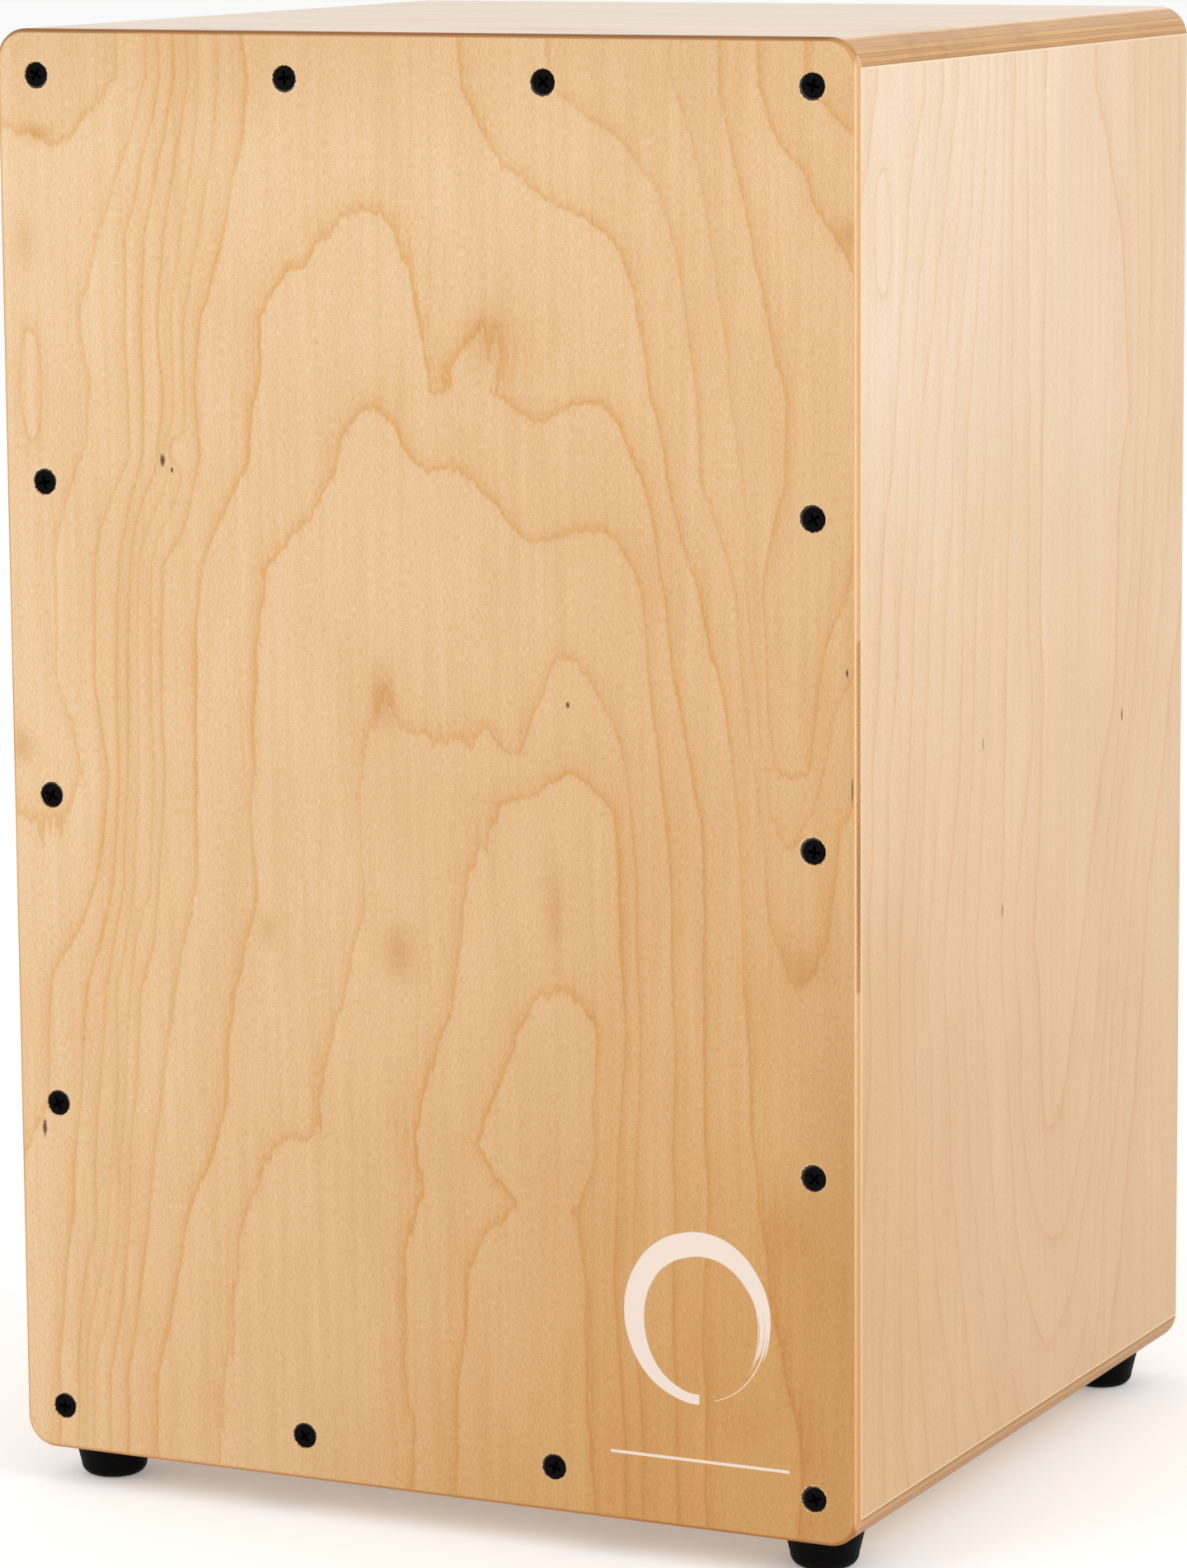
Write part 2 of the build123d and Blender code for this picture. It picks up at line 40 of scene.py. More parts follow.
class Value:
    """A shader socket that can be used in a sum like a number."""

    def __init__(self, graph, socket):
        self.graph = graph
        self.socket = socket

    def __add__(self, other):
        return self.graph.math("ADD", self, other)

    def __sub__(self, other):
        return self.graph.math("SUBTRACT", self, other)

    def __mul__(self, other):
        return self.graph.math("MULTIPLY", self, other)

    def __truediv__(self, other):
        return self.graph.math("DIVIDE", self, other)

    def __radd__(self, other):
        return self.graph.math("ADD", other, self)

    def __rsub__(self, other):
        return self.graph.math("SUBTRACT", other, self)

    def __abs__(self):
        return self.graph.math("ABSOLUTE", self)

    def __neg__(self):
        return self.graph.math("MULTIPLY", self, -1.0)


class Graph:
    """Adds nodes to a shader node tree, one short call each."""

    def __init__(self, tree):
        self.tree = tree
        tree.nodes.clear()

    def node(self, kind, **settings):
        node = self.tree.nodes.new(kind)
        for name, value in settings.items():
            setattr(node, name, value)
        return node

    def put(self, socket, value):
        """Links a shader value to a socket, or sets the socket to a constant."""
        if isinstance(value, Value):
            self.tree.links.new(value.socket, socket)
        elif isinstance(value, bpy.types.NodeSocket):
            self.tree.links.new(value, socket)
        else:
            socket.default_value = value

    def math(self, operation, *values):
        node = self.node("ShaderNodeMath", operation=operation)
        for socket, value in zip(node.inputs, values):
            self.put(socket, value)
        return Value(self, node.outputs[0])

    def clamp(self, value, least=0.0, most=1.0):
        """The value, kept from least to most."""
        return self.math("MINIMUM", self.math("MAXIMUM", value, least), most)

    def exp(self, value):
        return self.math("EXPONENT", value)

    def floor(self, value):
        return self.math("FLOOR", value)

    def less(self, value, limit):
        return self.math("LESS_THAN", value, limit)

    def length(self, a, b):
        return self.math("SQRT", a * a + b * b)

    def bell(self, value, centre, width):
        """1 at the centre and near 0 two widths away."""
        off = (value - centre) / width
        return self.exp(-(off * off))

    def smooth(self, value, start, end, low=0.0, high=1.0):
        """Goes smoothly from low at start to high at end."""
        node = self.node("ShaderNodeMapRange", interpolation_type="SMOOTHSTEP")
        for name, setting in (
            ("Value", value),
            ("From Min", start),
            ("From Max", end),
            ("To Min", low),
            ("To Max", high),
        ):
            self.put(node.inputs[name], setting)
        return Value(self, node.outputs["Result"])

    def vector(self, x, y, z):
        node = self.node("ShaderNodeCombineXYZ")
        for socket, value in zip(node.inputs, (x, y, z)):
            self.put(socket, value)
        return Value(self, node.outputs[0])

    def split(self, socket):
        """The three parts of a vector."""
        node = self.node("ShaderNodeSeparateXYZ")
        self.put(node.inputs[0], socket)
        return [Value(self, out) for out in node.outputs]

    def place(self):
        """The point's own coordinates in the row frame at rest, in millimetres."""
        return [v * (1 / MM) for v in self.split(self.node("ShaderNodeTexCoord").outputs["Object"])]

    def normal(self):
        """The surface's own direction at the point, in the row frame at rest."""
        return self.split(self.node("ShaderNodeTexCoord").outputs["Normal"])

    def noise(self, x, y, z, detail=2.0, roughness=0.5):
        """Soft noise from about -1 to 1, one bump to a unit."""
        node = self.node("ShaderNodeTexNoise", noise_dimensions="3D")
        self.put(node.inputs["Vector"], self.vector(x, y, z))
        node.inputs["Scale"].default_value = 1.0
        node.inputs["Detail"].default_value = detail
        node.inputs["Roughness"].default_value = roughness
        return Value(self, node.outputs["Fac"]) * 2.0 - 1.0

    def chance(self, x, y):
        """A different number from 0 to 1 for each whole x and each y."""
        node = self.node("ShaderNodeTexWhiteNoise", noise_dimensions="3D")
        self.put(node.inputs["Vector"], self.vector(x, y, 0.0))
        return Value(self, node.outputs["Value"])

    def mix(self, factor, a, b, blend="MIX"):
        """Goes from colour a at a factor of 0 to colour b at 1."""
        node = self.node("ShaderNodeMix", data_type="RGBA", blend_type=blend)
        self.put(node.inputs["Factor"], factor)
        colours = [s for s in node.inputs if s.type == "RGBA"]
        for socket, colour in zip(colours, (a, b)):
            self.put(socket, colour if isinstance(colour, Value) else (*colour, 1.0))
        return Value(self, [s for s in node.outputs if s.type == "RGBA"][0])

    def tint(self, colour, factor, by):
        """Multiplies a colour by another one, as far as factor says."""
        return self.mix(factor, colour, by, blend="MULTIPLY")

    def call(self, group, *values):
        """The result of a node group for some values."""
        node = self.node("ShaderNodeGroup", node_tree=group)
        for socket, value in zip(node.inputs, values):
            self.put(socket, value)
        return Value(self, node.outputs[0])

    def profile(self, value, span, points, levels):
        """A smooth curve through points, from a place within span to a level within levels."""
        node = self.node("ShaderNodeFloatCurve")
        curve = node.mapping.curves[0]
        scaled = [
            ((at - span[0]) / (span[1] - span[0]), (level - levels[0]) / (levels[1] - levels[0]))
            for at, level in points
        ]
        curve.points[0].location = scaled[0]
        curve.points[1].location = scaled[-1]
        for at, level in scaled[1:-1]:
            curve.points.new(at, level)
        for point in curve.points:
            point.handle_type = "AUTO_CLAMPED"
        node.mapping.update()
        self.put(node.inputs["Value"], (value - span[0]) / (span[1] - span[0]))
        return Value(self, node.outputs[0]) * (levels[1] - levels[0]) + levels[0]

    def bump(self, height, depth):
        """Bump from a height of 0 to 1, depth in metres."""
        node = self.node("ShaderNodeBump")
        node.inputs["Strength"].default_value = 1.0
        node.inputs["Distance"].default_value = depth
        self.put(node.inputs["Height"], height)
        return Value(self, node.outputs[0])


def linear(r, g, b):
    """A linear colour from ordinary 0 to 255 display values."""
    return tuple(
        v / 255 / 12.92 if v / 255 <= 0.04045 else ((v / 255 + 0.055) / 1.055) ** 2.4 for v in (r, g, b)
    )


def scaled(colour, tint):
    """A constant colour multiplied by another one."""
    return tuple(c * t for c, t in zip(colour, tint))


def new_material(name):
    """A material with an empty graph, and its main shader."""
    made = bpy.data.materials.new(name)
    made.use_nodes = True
    graph = Graph(made.node_tree)
    shader = graph.node("ShaderNodeBsdfPrincipled")
    output = graph.node("ShaderNodeOutputMaterial")
    graph.tree.links.new(shader.outputs[0], output.inputs[0])
    return made, graph, shader


def field(name, formula):
    """A node group with the growth rings' height at a point of a sheet. A ring lies at each whole number."""
    tree = bpy.data.node_groups.new(name, "ShaderNodeTree")
    for side, label in (("INPUT", "U"), ("INPUT", "V"), ("OUTPUT", "Height")):
        tree.interface.new_socket(label, in_out=side, socket_type="NodeSocketFloat")
    graph = Graph(tree)
    start = graph.node("NodeGroupInput")
    end = graph.node("NodeGroupOutput")
    u, v = (Value(graph, s) for s in start.outputs[:2])
    graph.put(end.inputs[0], formula(graph, u, v))
    return tree


# ---------------------------------------------------------------- wood

# How far apart the points are that give the slope of the rings' height, in mm, and its least value, per mm
SLOPE_STEP = 0.4
LEAST_SLOPE = 0.012

# How far fibres pull a ring aside and along, in mm
FIBRE_PULL = (0.3, 2.3)

# A ring in mm: how wide its dark line is on the outer side where rings lie far apart and where they crowd,
# how wide it is on the inner side, and how far its fade reaches
LONE_LINE = 1.8
CROWDED_LINE = 0.85
INNER_LINE = 0.45
RING_FADE = 6.5


def growth_rings(g, rings, u, v, seed):
    """How strongly a growth ring darkens a point: a thin line with a soft fade on its outer side."""
    fibre_u = g.noise(u * 0.9, v * 0.08, seed, detail=2.0)
    fibre_v = g.noise(u * 1.3, v * 0.10, seed + 7.0, detail=3.0, roughness=0.6)
    u = u + fibre_u * FIBRE_PULL[0]
    v = v + fibre_v * FIBRE_PULL[1]
    here = g.call(rings, u, v)
    over = g.call(rings, u + SLOPE_STEP, v) - here
    up = g.call(rings, u, v + SLOPE_STEP) - here
    slope = g.math("MAXIMUM", g.length(over, up) / SLOPE_STEP, LEAST_SLOPE)
    phase = g.math("FRACT", here)
    outside = (1.0 - phase) / slope
    inside = phase / slope
    ring = g.floor(here + 0.5)
    strength = 0.55 + g.chance(ring, seed) * 0.45
    patchy = 0.9 + g.noise(u * 0.03, v * 0.012, seed + 3.0) * 0.6
    width = g.smooth(slope, 0.03, 0.12, LONE_LINE, CROWDED_LINE)
    core = g.exp(-(g.math("POWER", outside / width, 1.6))) + g.exp(-(inside / INNER_LINE))
    fade = g.exp(-(outside / RING_FADE))
    return g.clamp((core * 0.68 + fade * 0.55) * strength * patchy, 0.0, 1.3)


def flecks(g, u, v, seed):
    """Short dark pores along the grain, 0 or more."""
    cells = g.noise(u * 2.6, v * 0.32, seed, detail=1.0)
    sparse = g.noise(u * 0.35, v * 0.06, seed + 5.0)
    return g.clamp((cells - 0.26) * 3.2) * g.clamp(0.55 + sparse)


def fibres(g, u, v, seed):
    """The fine streaks and silky lustre of the grain, about -1 to 1."""
    fine = g.noise(u * 2.4, v * 0.45, seed, detail=3.0, roughness=0.7)
    silk = g.noise(u * 3.0, v * 2.0, seed + 9.0, detail=2.0, roughness=0.6)
    broad = g.noise(u * 0.28, v * 0.012, seed + 2.0, detail=3.0, roughness=0.6)
    return fine * 0.75 + silk * 0.75 + broad * 0.3


def pin_knot(g, u, v, at, size):
    """A small dark knot drawn out along the grain, 0 to 1."""
    ragged = g.noise(u * 1.2, v * 0.7, 4.0) * 0.35
    distance = g.length((u - at[0]) / size[0], (v - at[1]) / size[1]) + ragged
    return g.smooth(distance, 1.2, 0.5)


def strongest(g, values):
    """The largest of several values at each point."""
    made = values[0]
    for value in values[1:]:
        made = g.math("MAXIMUM", made, value)
    return made


RING_TINT = (0.905, 0.725, 0.44)
FIBRE_TINT = (0.83, 0.76, 0.66)
MOTTLE_TINT = (0.94, 0.89, 0.81)
FLECK_TINT = (0.78, 0.62, 0.44)
KNOT_TINT = (0.22, 0.12, 0.07)


def veneer(g, rings, u, v, base, seed, knots, ring_tint=RING_TINT, fibre_tint=FIBRE_TINT):
    """The colour of a sheet's outer ply, and how far its surface stands up."""
    ring = growth_rings(g, rings, u, v, seed)
    fibre = fibres(g, u, v, seed + 11.0)
    pore = flecks(g, u, v, seed + 17.0)
    mottle = g.noise(u * 0.022, v * 0.010, seed + 23.0, detail=3.0)
    colour = g.mix(g.clamp(0.5 + mottle * 0.9), base, scaled(base, MOTTLE_TINT))
    colour = g.tint(colour, g.clamp(0.5 + fibre * 1.45), fibre_tint)
    colour = g.tint(colour, ring, ring_tint)
    colour = g.tint(colour, pore * 0.75, FLECK_TINT)
    height = 0.5 + fibre * 0.25 - pore * 0.5
    if knots:
        knot = strongest(g, [pin_knot(g, u, v, at, size) for at, size in knots])
        colour = g.tint(colour, knot, KNOT_TINT)
        height = height - knot * 0.6
    return colour, height


LONG_STREAK_TINT = (0.76, 0.64, 0.50)
SPECK_TINT = (0.7, 0.7, 0.7)
PATCH_TINT = (0.84, 0.78, 0.70)


def long_ply(g, u, v, depth, base, seed):
    """An inner ply cut along its grain: fine streaks that run along v."""
    streak = g.noise(depth * 3.0 + u * 0.4, v * 0.02, seed, detail=4.0, roughness=0.65)
    return g.mix(g.clamp(0.5 + streak * 1.3), base, scaled(base, LONG_STREAK_TINT))


def end_ply(g, along, depth, base, seed):
    """An inner ply cut across its grain: darker and speckled."""
    speck = g.noise(along * 1.6, depth * 2.2, seed, detail=3.0, roughness=0.7)
    patch = g.noise(along * 0.06, depth * 0.5, seed + 3.0, detail=2.0)
    dark = g.mix(g.clamp(0.5 + speck * 0.9), base, scaled(base, SPECK_TINT))
    return g.tint(dark, g.clamp(0.4 + patch * 0.8), PATCH_TINT)


# How deep the wood's own relief is, in metres
WOOD_RELIEF = 0.00006


def finish_wood(g, shader, colour, height, roughness, gloss):
    """Joins a colour and a surface height to the shader, with a satin lacquer over it."""
    g.put(shader.inputs["Base Color"], colour)
    g.put(shader.inputs["Roughness"], g.clamp(roughness, 0.1, 0.9))
    g.put(shader.inputs["Normal"], g.bump(height, WOOD_RELIEF))
    shader.inputs["Specular IOR Level"].default_value = 0.45
    shader.inputs["Coat Weight"].default_value = gloss
    shader.inputs["Coat Roughness"].default_value = 0.28


# ---------------------------------------------------------------- growth rings of each sheet

# The least and the most that a profile of the rings' height can hold
LEVELS = (-2.0, 15.0)


def profile_rows(g, u, v, span, rows):
    """The height between several profiles of it, each at its own v, from the highest v down."""
    above, points = rows[0]
    height = g.profile(u, span, points, LEVELS)
    for v_row, points in rows[1:]:
        step = g.clamp((above - v) / (above - v_row))
        height = height + (g.profile(u, span, points, LEVELS) - height) * step
        above = v_row
    return height


# Where the growth rings of the striking plate's veneer cross it, read off the photograph at a few
# heights above the floor: at each height, pairs of x and ring number. The rings stand close together down
# both sides and arch over the middle.
TAPA_SPAN = (-150.0, 150.0)
TAPA_ROWS = (
    (465, (
        (-150, -0.5), (-106, 0), (-95, 1), (-90, 2), (-85, 3), (-80, 4), (-76, 5), (-69, 6), (-59, 7),
        (-25, 7.4), (16, 7), (47, 6), (89, 5), (104, 4), (118, 3), (133, 2), (150, 1.5),
    )),
    (440, (
        (-150, 0.3), (-128, 0.05), (-104, 1), (-97, 2), (-91, 3), (-85, 4), (-79, 5), (-72, 6),
        (-62, 7), (-20, 7.8), (32, 7), (79, 6), (98, 5), (110, 4), (131, 3), (150, 2.3),
    )),
    (415, (
        (-150, 0.5), (-114, 1), (-104, 2), (-97, 3), (-90, 4), (-84, 5), (-77, 6), (-68, 7), (-31, 8),
        (-20, 8.13), (-7, 8), (20, 7.6), (72, 7), (90, 6), (102, 5), (116, 4), (146, 3), (150, 2.9),
    )),
    (390, (
        (-150, 0.4), (-120, 1), (-104, 2), (-98, 3), (-92, 4), (-87, 5), (-82, 6), (-76, 7), (-55, 8),
        (-20, 8.5), (1, 8), (9, 7.88), (24, 7.98), (50, 7.8), (78, 7), (94, 6), (106, 5), (122, 4),
        (150, 3.2),
    )),
    (369, (
        (-150, 0.5), (-118, 1), (-104, 2), (-98, 3), (-91, 4), (-87, 5), (-83, 6), (-79, 7), (-57, 8),
        (-14, 8.9), (5, 8), (9, 7.98), (13, 8), (20, 8.08), (26, 8), (42, 7.85), (60, 7.98), (81, 7),
        (97, 6), (108, 5), (127, 4), (150, 3.4),
    )),
    (345, (
        (-150, 0.4), (-121, 1), (-104, 2), (-99, 3), (-91, 4), (-87, 5), (-83, 6), (-78, 7), (-60, 8),
        (-28, 9), (-12, 9.25), (0, 9), (20, 8.95), (41, 8.3), (60, 8.6), (77, 8), (86, 7), (98, 6),
        (112, 5), (126, 4), (140, 3.4), (150, 3.6),
    )),
    (310, (
        (-150, 0.5), (-132, 1), (-117, 2), (-108, 3), (-104, 4), (-101, 5), (-96, 6), (-92, 7),
        (-78, 8), (-54, 9), (10, 9.5), (60, 9.4), (77, 9), (85, 8), (97, 7), (109, 6), (113, 5),
        (118, 4), (132, 3.4), (146, 4), (150, 4.4),
    )),
    (272, (
        (-150, 0.5), (-132, 1), (-118, 2), (-110, 3), (-106, 4), (-102, 5), (-97, 6), (-93, 7),
        (-81, 8), (-59, 9), (-18, 9.9), (-12, 9.98), (-6, 9.85), (20, 9.85), (33, 9.75), (42, 10),
        (50, 10.35), (64, 10), (81, 9), (90, 8), (106, 7), (113, 6), (117, 5), (120, 4), (127, 3.7),
        (136, 4), (142, 5), (150, 5.6),
    )),
    (257, (
        (-150, 0.7), (-126, 1), (-116, 2), (-110, 3), (-106, 4), (-102, 5), (-97, 6), (-93, 7),
        (-81, 8), (-60, 9), (-17, 10), (-2, 10.05), (13, 10), (17, 9.96), (23, 10.12), (29, 10),
        (33, 9.97), (37, 10.1), (50, 10.85), (62, 10.6), (70, 10), (83, 9), (93, 8), (108, 7), (115, 6),
        (119, 5), (122, 4), (128, 3.9), (134, 4), (139, 5), (150, 5.9),
    )),
    (240, (
        (-150, 0.8), (-123, 1), (-114, 2), (-110, 3), (-107, 4), (-103, 5), (-97, 6), (-93, 7),
        (-81, 8), (-60, 9), (-23, 10), (5, 10.5), (29, 11), (46, 11.25), (67, 11), (73, 10), (85, 9),
        (97, 8), (110, 7), (118, 6), (122, 5), (127, 4.8), (132, 5), (140, 5.8), (150, 6.1),
    )),
    (205, (
        (-150, 1.3), (-135, 1.1), (-118, 2), (-112, 3), (-108, 4), (-104, 5), (-98, 6), (-95, 7),
        (-81, 8), (-60, 9), (-21, 10), (15, 11), (47, 11.7), (69, 11), (75, 10), (87, 9), (98, 8),
        (111, 7), (122, 6), (130, 5.8), (139, 6), (150, 6.6),
    )),
    (170, (
        (-150, 1.3), (-137, 2), (-123, 3), (-116, 4), (-112, 5), (-107, 6), (-103, 7), (-91, 8),
        (-67, 9), (-29, 10), (10, 11), (34, 12), (50, 12.15), (61, 12), (71, 11), (76, 10), (88, 9),
        (98, 8), (113, 7), (132, 6.3), (150, 6.5),
    )),
    (130, (
        (-150, 1.6), (-139, 2), (-127, 3), (-120, 4), (-113, 5), (-110, 6), (-107, 7), (-97, 8),
        (-73, 9), (-52, 9.93), (-40, 10), (-4, 11), (18, 12), (40, 12.4), (59, 12), (68, 11), (74, 10),
        (87, 9), (99, 8), (116, 7), (150, 6.4),
    )),
    (112, (
        (-150, 1.9), (-129, 3), (-121, 4), (-115, 5), (-112, 6), (-108, 7), (-99, 8), (-80, 9),
        (-60, 10), (-32, 10.3), (-1, 11), (31, 12), (41, 12.04), (53, 12), (67, 11), (73, 10), (87, 9),
        (99, 8), (118, 7), (150, 6.5),
    )),
    (90, (
        (-150, 2.2), (-130, 3), (-121, 4), (-117, 5), (-113, 6), (-109, 7), (-102, 8), (-88, 9),
        (-67, 10), (-8, 11), (16, 12), (36, 12.5), (56, 12), (67, 11), (73, 10), (87, 9), (98, 8),
        (120, 7), (150, 6.4),
    )),
    (40, (
        (-150, 2.3), (-137, 3), (-130, 4), (-127, 5), (-124, 6), (-118, 7), (-111, 8), (-100, 9),
        (-76, 10), (-6, 11), (10, 12), (34, 12.6), (58, 12), (70, 11), (76, 10), (88, 9), (98, 8),
        (130, 7), (150, 6.2),
    )),
)

# The same for the box's sides, with y in place of x. A broad plain strip runs up the middle.
SIDE_SPAN = (-150.0, 150.0)
SIDE_ROWS = (
    (461, (
        (-150, -1.5), (-90, 0), (-75, 1), (-63, 2), (-54, 3), (-45, 4), (-37, 5), (-30, 6), (-22, 7),
        (-15, 8), (-5, 9), (12, 10), (32, 10.5), (55, 10), (90, 9), (106, 8), (118, 7), (134, 6),
        (150, 5.3),
    )),
    (405, (
        (-150, -1.0), (-106, 0), (-93, 1), (-80, 2), (-68, 3), (-57, 4), (-46, 5), (-36, 6), (-26, 7),
        (-18, 8), (-4, 9), (10, 10), (42, 10.6), (80, 10), (96, 9), (108, 8), (120, 7), (134, 6),
        (150, 5.2),
    )),
    (348, (
        (-150, -0.8), (-116, 0), (-103, 1), (-94, 2), (-80, 3), (-67, 4), (-55, 5), (-40, 6), (-30, 7),
        (-18, 8), (-3, 9), (10, 10), (48, 10.6), (88, 10), (98, 9), (108, 8), (122, 7), (133, 6),
        (150, 5.0),
    )),
    (248, (
        (-150, -0.6), (-130, 0), (-118, 1), (-102, 2), (-88, 3), (-76, 4), (-60, 5), (-50, 6), (-38, 7),
        (-22, 8), (2, 9), (10, 10), (42, 10.6), (73, 10), (82, 9), (92, 8), (102, 7), (112, 6),
        (128, 5), (150, 4.4),
    )),
    (181, (
        (-150, -0.6), (-130, 0), (-118, 1), (-108, 2), (-96, 3), (-85, 4), (-72, 5), (-58, 6), (-45, 7),
        (-23, 8), (-12, 9), (5, 10), (26, 10.5), (48, 10), (65, 9), (73, 8), (82, 7), (93, 6), (108, 5),
        (126, 4.6), (150, 5.4),
    )),
    (116, (
        (-150, -0.4), (-120, 1), (-108, 2), (-96, 3), (-82, 4), (-66, 5), (-50, 6), (-32, 7), (-14, 8),
        (-3, 9), (15, 9.98), (22, 10.03), (30, 9.98), (56, 9), (66, 8), (73, 7), (82, 6), (98, 5),
        (126, 4.3), (150, 5),
    )),
    (78, (
        (-150, -0.3), (-122, 1), (-108, 2), (-94, 3), (-77, 4), (-58, 5), (-42, 6), (-23, 7), (-8, 8),
        (18, 8.98), (25, 9.03), (32, 8.98), (48, 8), (62, 7), (70, 6), (90, 5), (120, 4.2), (150, 4.6),
    )),
    (42, (
        (-150, -0.2), (-122, 1), (-106, 2), (-88, 3), (-66, 4), (-48, 5), (-32, 6), (-15, 7),
        (12, 7.98), (19, 8.03), (26, 7.98), (52, 7), (65, 6), (81, 5), (112, 4.2), (150, 4.4),
    )),
    (12, (
        (-150, -0.1), (-122, 1), (-100, 2), (-82, 3), (-56, 4), (-36, 5), (-18, 6), (-3, 7), (12, 7.3),
        (26, 7), (52, 6), (70, 5), (104, 4.2), (150, 4.2),
    )),
)


def tapa_rings(g, x, z):
    """The rings of the striking plate: the profiles, with the ragged run of real veneer."""
    sway = g.noise(z * 0.02, 3.7, x * 0.006, detail=1.0) * 1.6
    height = profile_rows(g, x + sway, z, TAPA_SPAN, TAPA_ROWS)
    height = height + g.bell(x, -140.0, 4.2) * g.bell(z, 366.0, 20.0) * 0.9
    height = height + g.bell(x, -88.0, 4.0) * g.bell(z, 347.0, 6.5) * 1.6
    teeth = g.noise(x * 0.30, z * 0.05, 6.9, detail=3.0, roughness=0.65)
    return height + teeth * 0.07 + g.noise(x * 0.07, z * 0.03, 5.3, detail=1.0) * 0.10


def side_rings(g, y, z):
    """The rings of a side."""
    sway = g.noise(z * 0.018, 1.7, y * 0.006, detail=1.0) * 3.0
    height = profile_rows(g, y + sway, z, SIDE_SPAN, SIDE_ROWS)
    height = height + g.bell(y, -124.0, 7.0) * g.bell(z, 424.0, 22.0) * 1.3
    teeth = g.noise(y * 0.22, z * 0.04, 3.9, detail=3.0, roughness=0.65)
    return height + teeth * 0.08 + g.noise(y * 0.05, z * 0.02, 8.3, detail=1.0) * 0.16


def plain_rings(seed, spacing):
    """Rings for the sheets that the player hardly sees: wavy lines along the grain."""

    def rings(g, u, v):
        sway = g.noise(u * 0.012, v * 0.006, seed, detail=2.0) * 26.0
        hill = g.noise(u * 0.02, v * 0.008, seed + 4.0, detail=2.0) * 1.3
        return (u + sway) / spacing + hill

    return rings


# ---------------------------------------------------------------- plywood materials

# Bare colours: the outer plies of the shell, the striking plate, the seat and the back, and the inner plies
BIRCH = linear(233, 206, 174)
TAPA_BIRCH = linear(234, 208, 177)
SEAT_BIRCH = linear(238, 213, 183)
BACK_BIRCH = linear(236, 202, 158)
LONG_PLY = linear(220, 171, 106)
END_PLY = linear(210, 158, 95)


def ply_layers(g, depth, thickness, count):
    """Which ply a depth is in, counted from 0, and how near it is to a glue line."""
    layer = g.clamp(g.floor(depth / thickness * count), 0.0, count - 1.0)
    within = g.math("FRACT", depth / thickness * count)
    glue = g.smooth(abs(within - 0.5), 0.40, 0.49)
    return layer, glue


def edge_facing(g, part):
    """1 on a sheet's edges and 0 on its faces, from the normal's part along the sheet's thickness."""
    return g.smooth(abs(part), 0.985, 0.90)


EDGE_STREAK_TINT = (0.70, 0.56, 0.42)
GLUE_TINT = (0.52, 0.38, 0.26)


def plywood(
    name,
    rings,
    axes,
    span,
    base,
    seed,
    count=7,
    knots=(),
    finish=None,
    gloss=0.12,
    satin=0.36,
    seam=0.5,
    **look,
):
    """A sheet of plywood. axes gives the letters of the directions across its grain, along its grain and
    through its thickness. span says where the sheet starts and ends through its thickness, count how many
    plies it has, and finish what is done to its surface. gloss is the lacquer's weight, satin the roughness
    under it, and seam how dark the glue lines are."""
    made, g, shader = new_material(name)
    place = dict(zip("xyz", g.place()))
    normal = dict(zip("xyz", g.normal()))
    u, v, t = (place[a] for a in axes)
    thickness = span[1] - span[0]
    depth = t - span[0]
    layer, glue = ply_layers(g, depth, thickness, count)
    face, height = veneer(g, rings, u, v, base, seed, knots, **look)
    odd = g.math("MODULO", layer, 2.0)
    # on an edge that faces across the grain the odd plies show end grain, and the even ones their length
    faces_run = g.smooth(abs(normal[axes[1]]), 0.5, 0.8)
    shows_end = g.clamp(odd + faces_run - odd * faces_run * 2.0)
    # both directions along an edge at once: only one of them changes there
    along = u + v
    own = g.chance(layer, seed)
    length = long_ply(g, layer * 9.0, along, depth, LONG_PLY, seed + 31.0)
    across = end_ply(g, along, depth, END_PLY, seed + 37.0)
    edge = g.mix(shows_end, length, across)
    edge = g.tint(edge, own * 0.25, PATCH_TINT)
    # fine dark streaks that run along the edge, and the glue lines
    streak = g.noise(depth * 4.5, along * 0.012, seed + 5.0, detail=5.0, roughness=0.7)
    edge = g.tint(edge, g.smooth(streak, 0.02, 0.30) * 0.6, EDGE_STREAK_TINT)
    edge = g.tint(edge, glue * seam, GLUE_TINT)
    outer = g.clamp(g.less(depth, thickness / count) + g.less(thickness - thickness / count, depth))
    on_edge = edge_facing(g, normal[axes[2]])
    colour = g.mix(outer * (1.0 - on_edge), edge, face)
    if finish is not None:
        colour, height = finish(g, u, v, t, colour, height)
    rough = satin + height * 0.14 + on_edge * 0.3
    finish_wood(g, shader, colour, height - glue * on_edge * 0.6, rough, gloss)
    return made


# The striking plate's screws, in mm: their holes' radius, their heads' radius and their spacing up the sides
SCREW_HOLE = 4.15
SCREW_HEAD = 4.0
SCREW_PITCH = 102.5


def nearest(g, value, places):
    """The distance to the nearest of several places along one axis."""
    distance = abs(value - places[0])
    for place in places[1:]:
        distance = g.math("MINIMUM", distance, abs(value - place))
    return distance


def screw_distance(g, x, z):
    """Distance to the nearest screw of the striking plate."""
    side = screws_high.x - SCREW_HEAD
    top = screws_high.z - SCREW_HEAD
    bottom = screws_low.z + SCREW_HEAD
    columns = [side * k / 3 for k in (-3, -1, 1, 3)]
    ends = g.length(nearest(g, x, columns), nearest(g, z, [bottom, top]))
    rows = [bottom + SCREW_PITCH * k for k in (1, 2, 3)]
    sides = g.length(nearest(g, x, [-side, side]), nearest(g, z, rows))
    return g.math("MINIMUM", ends, sides)


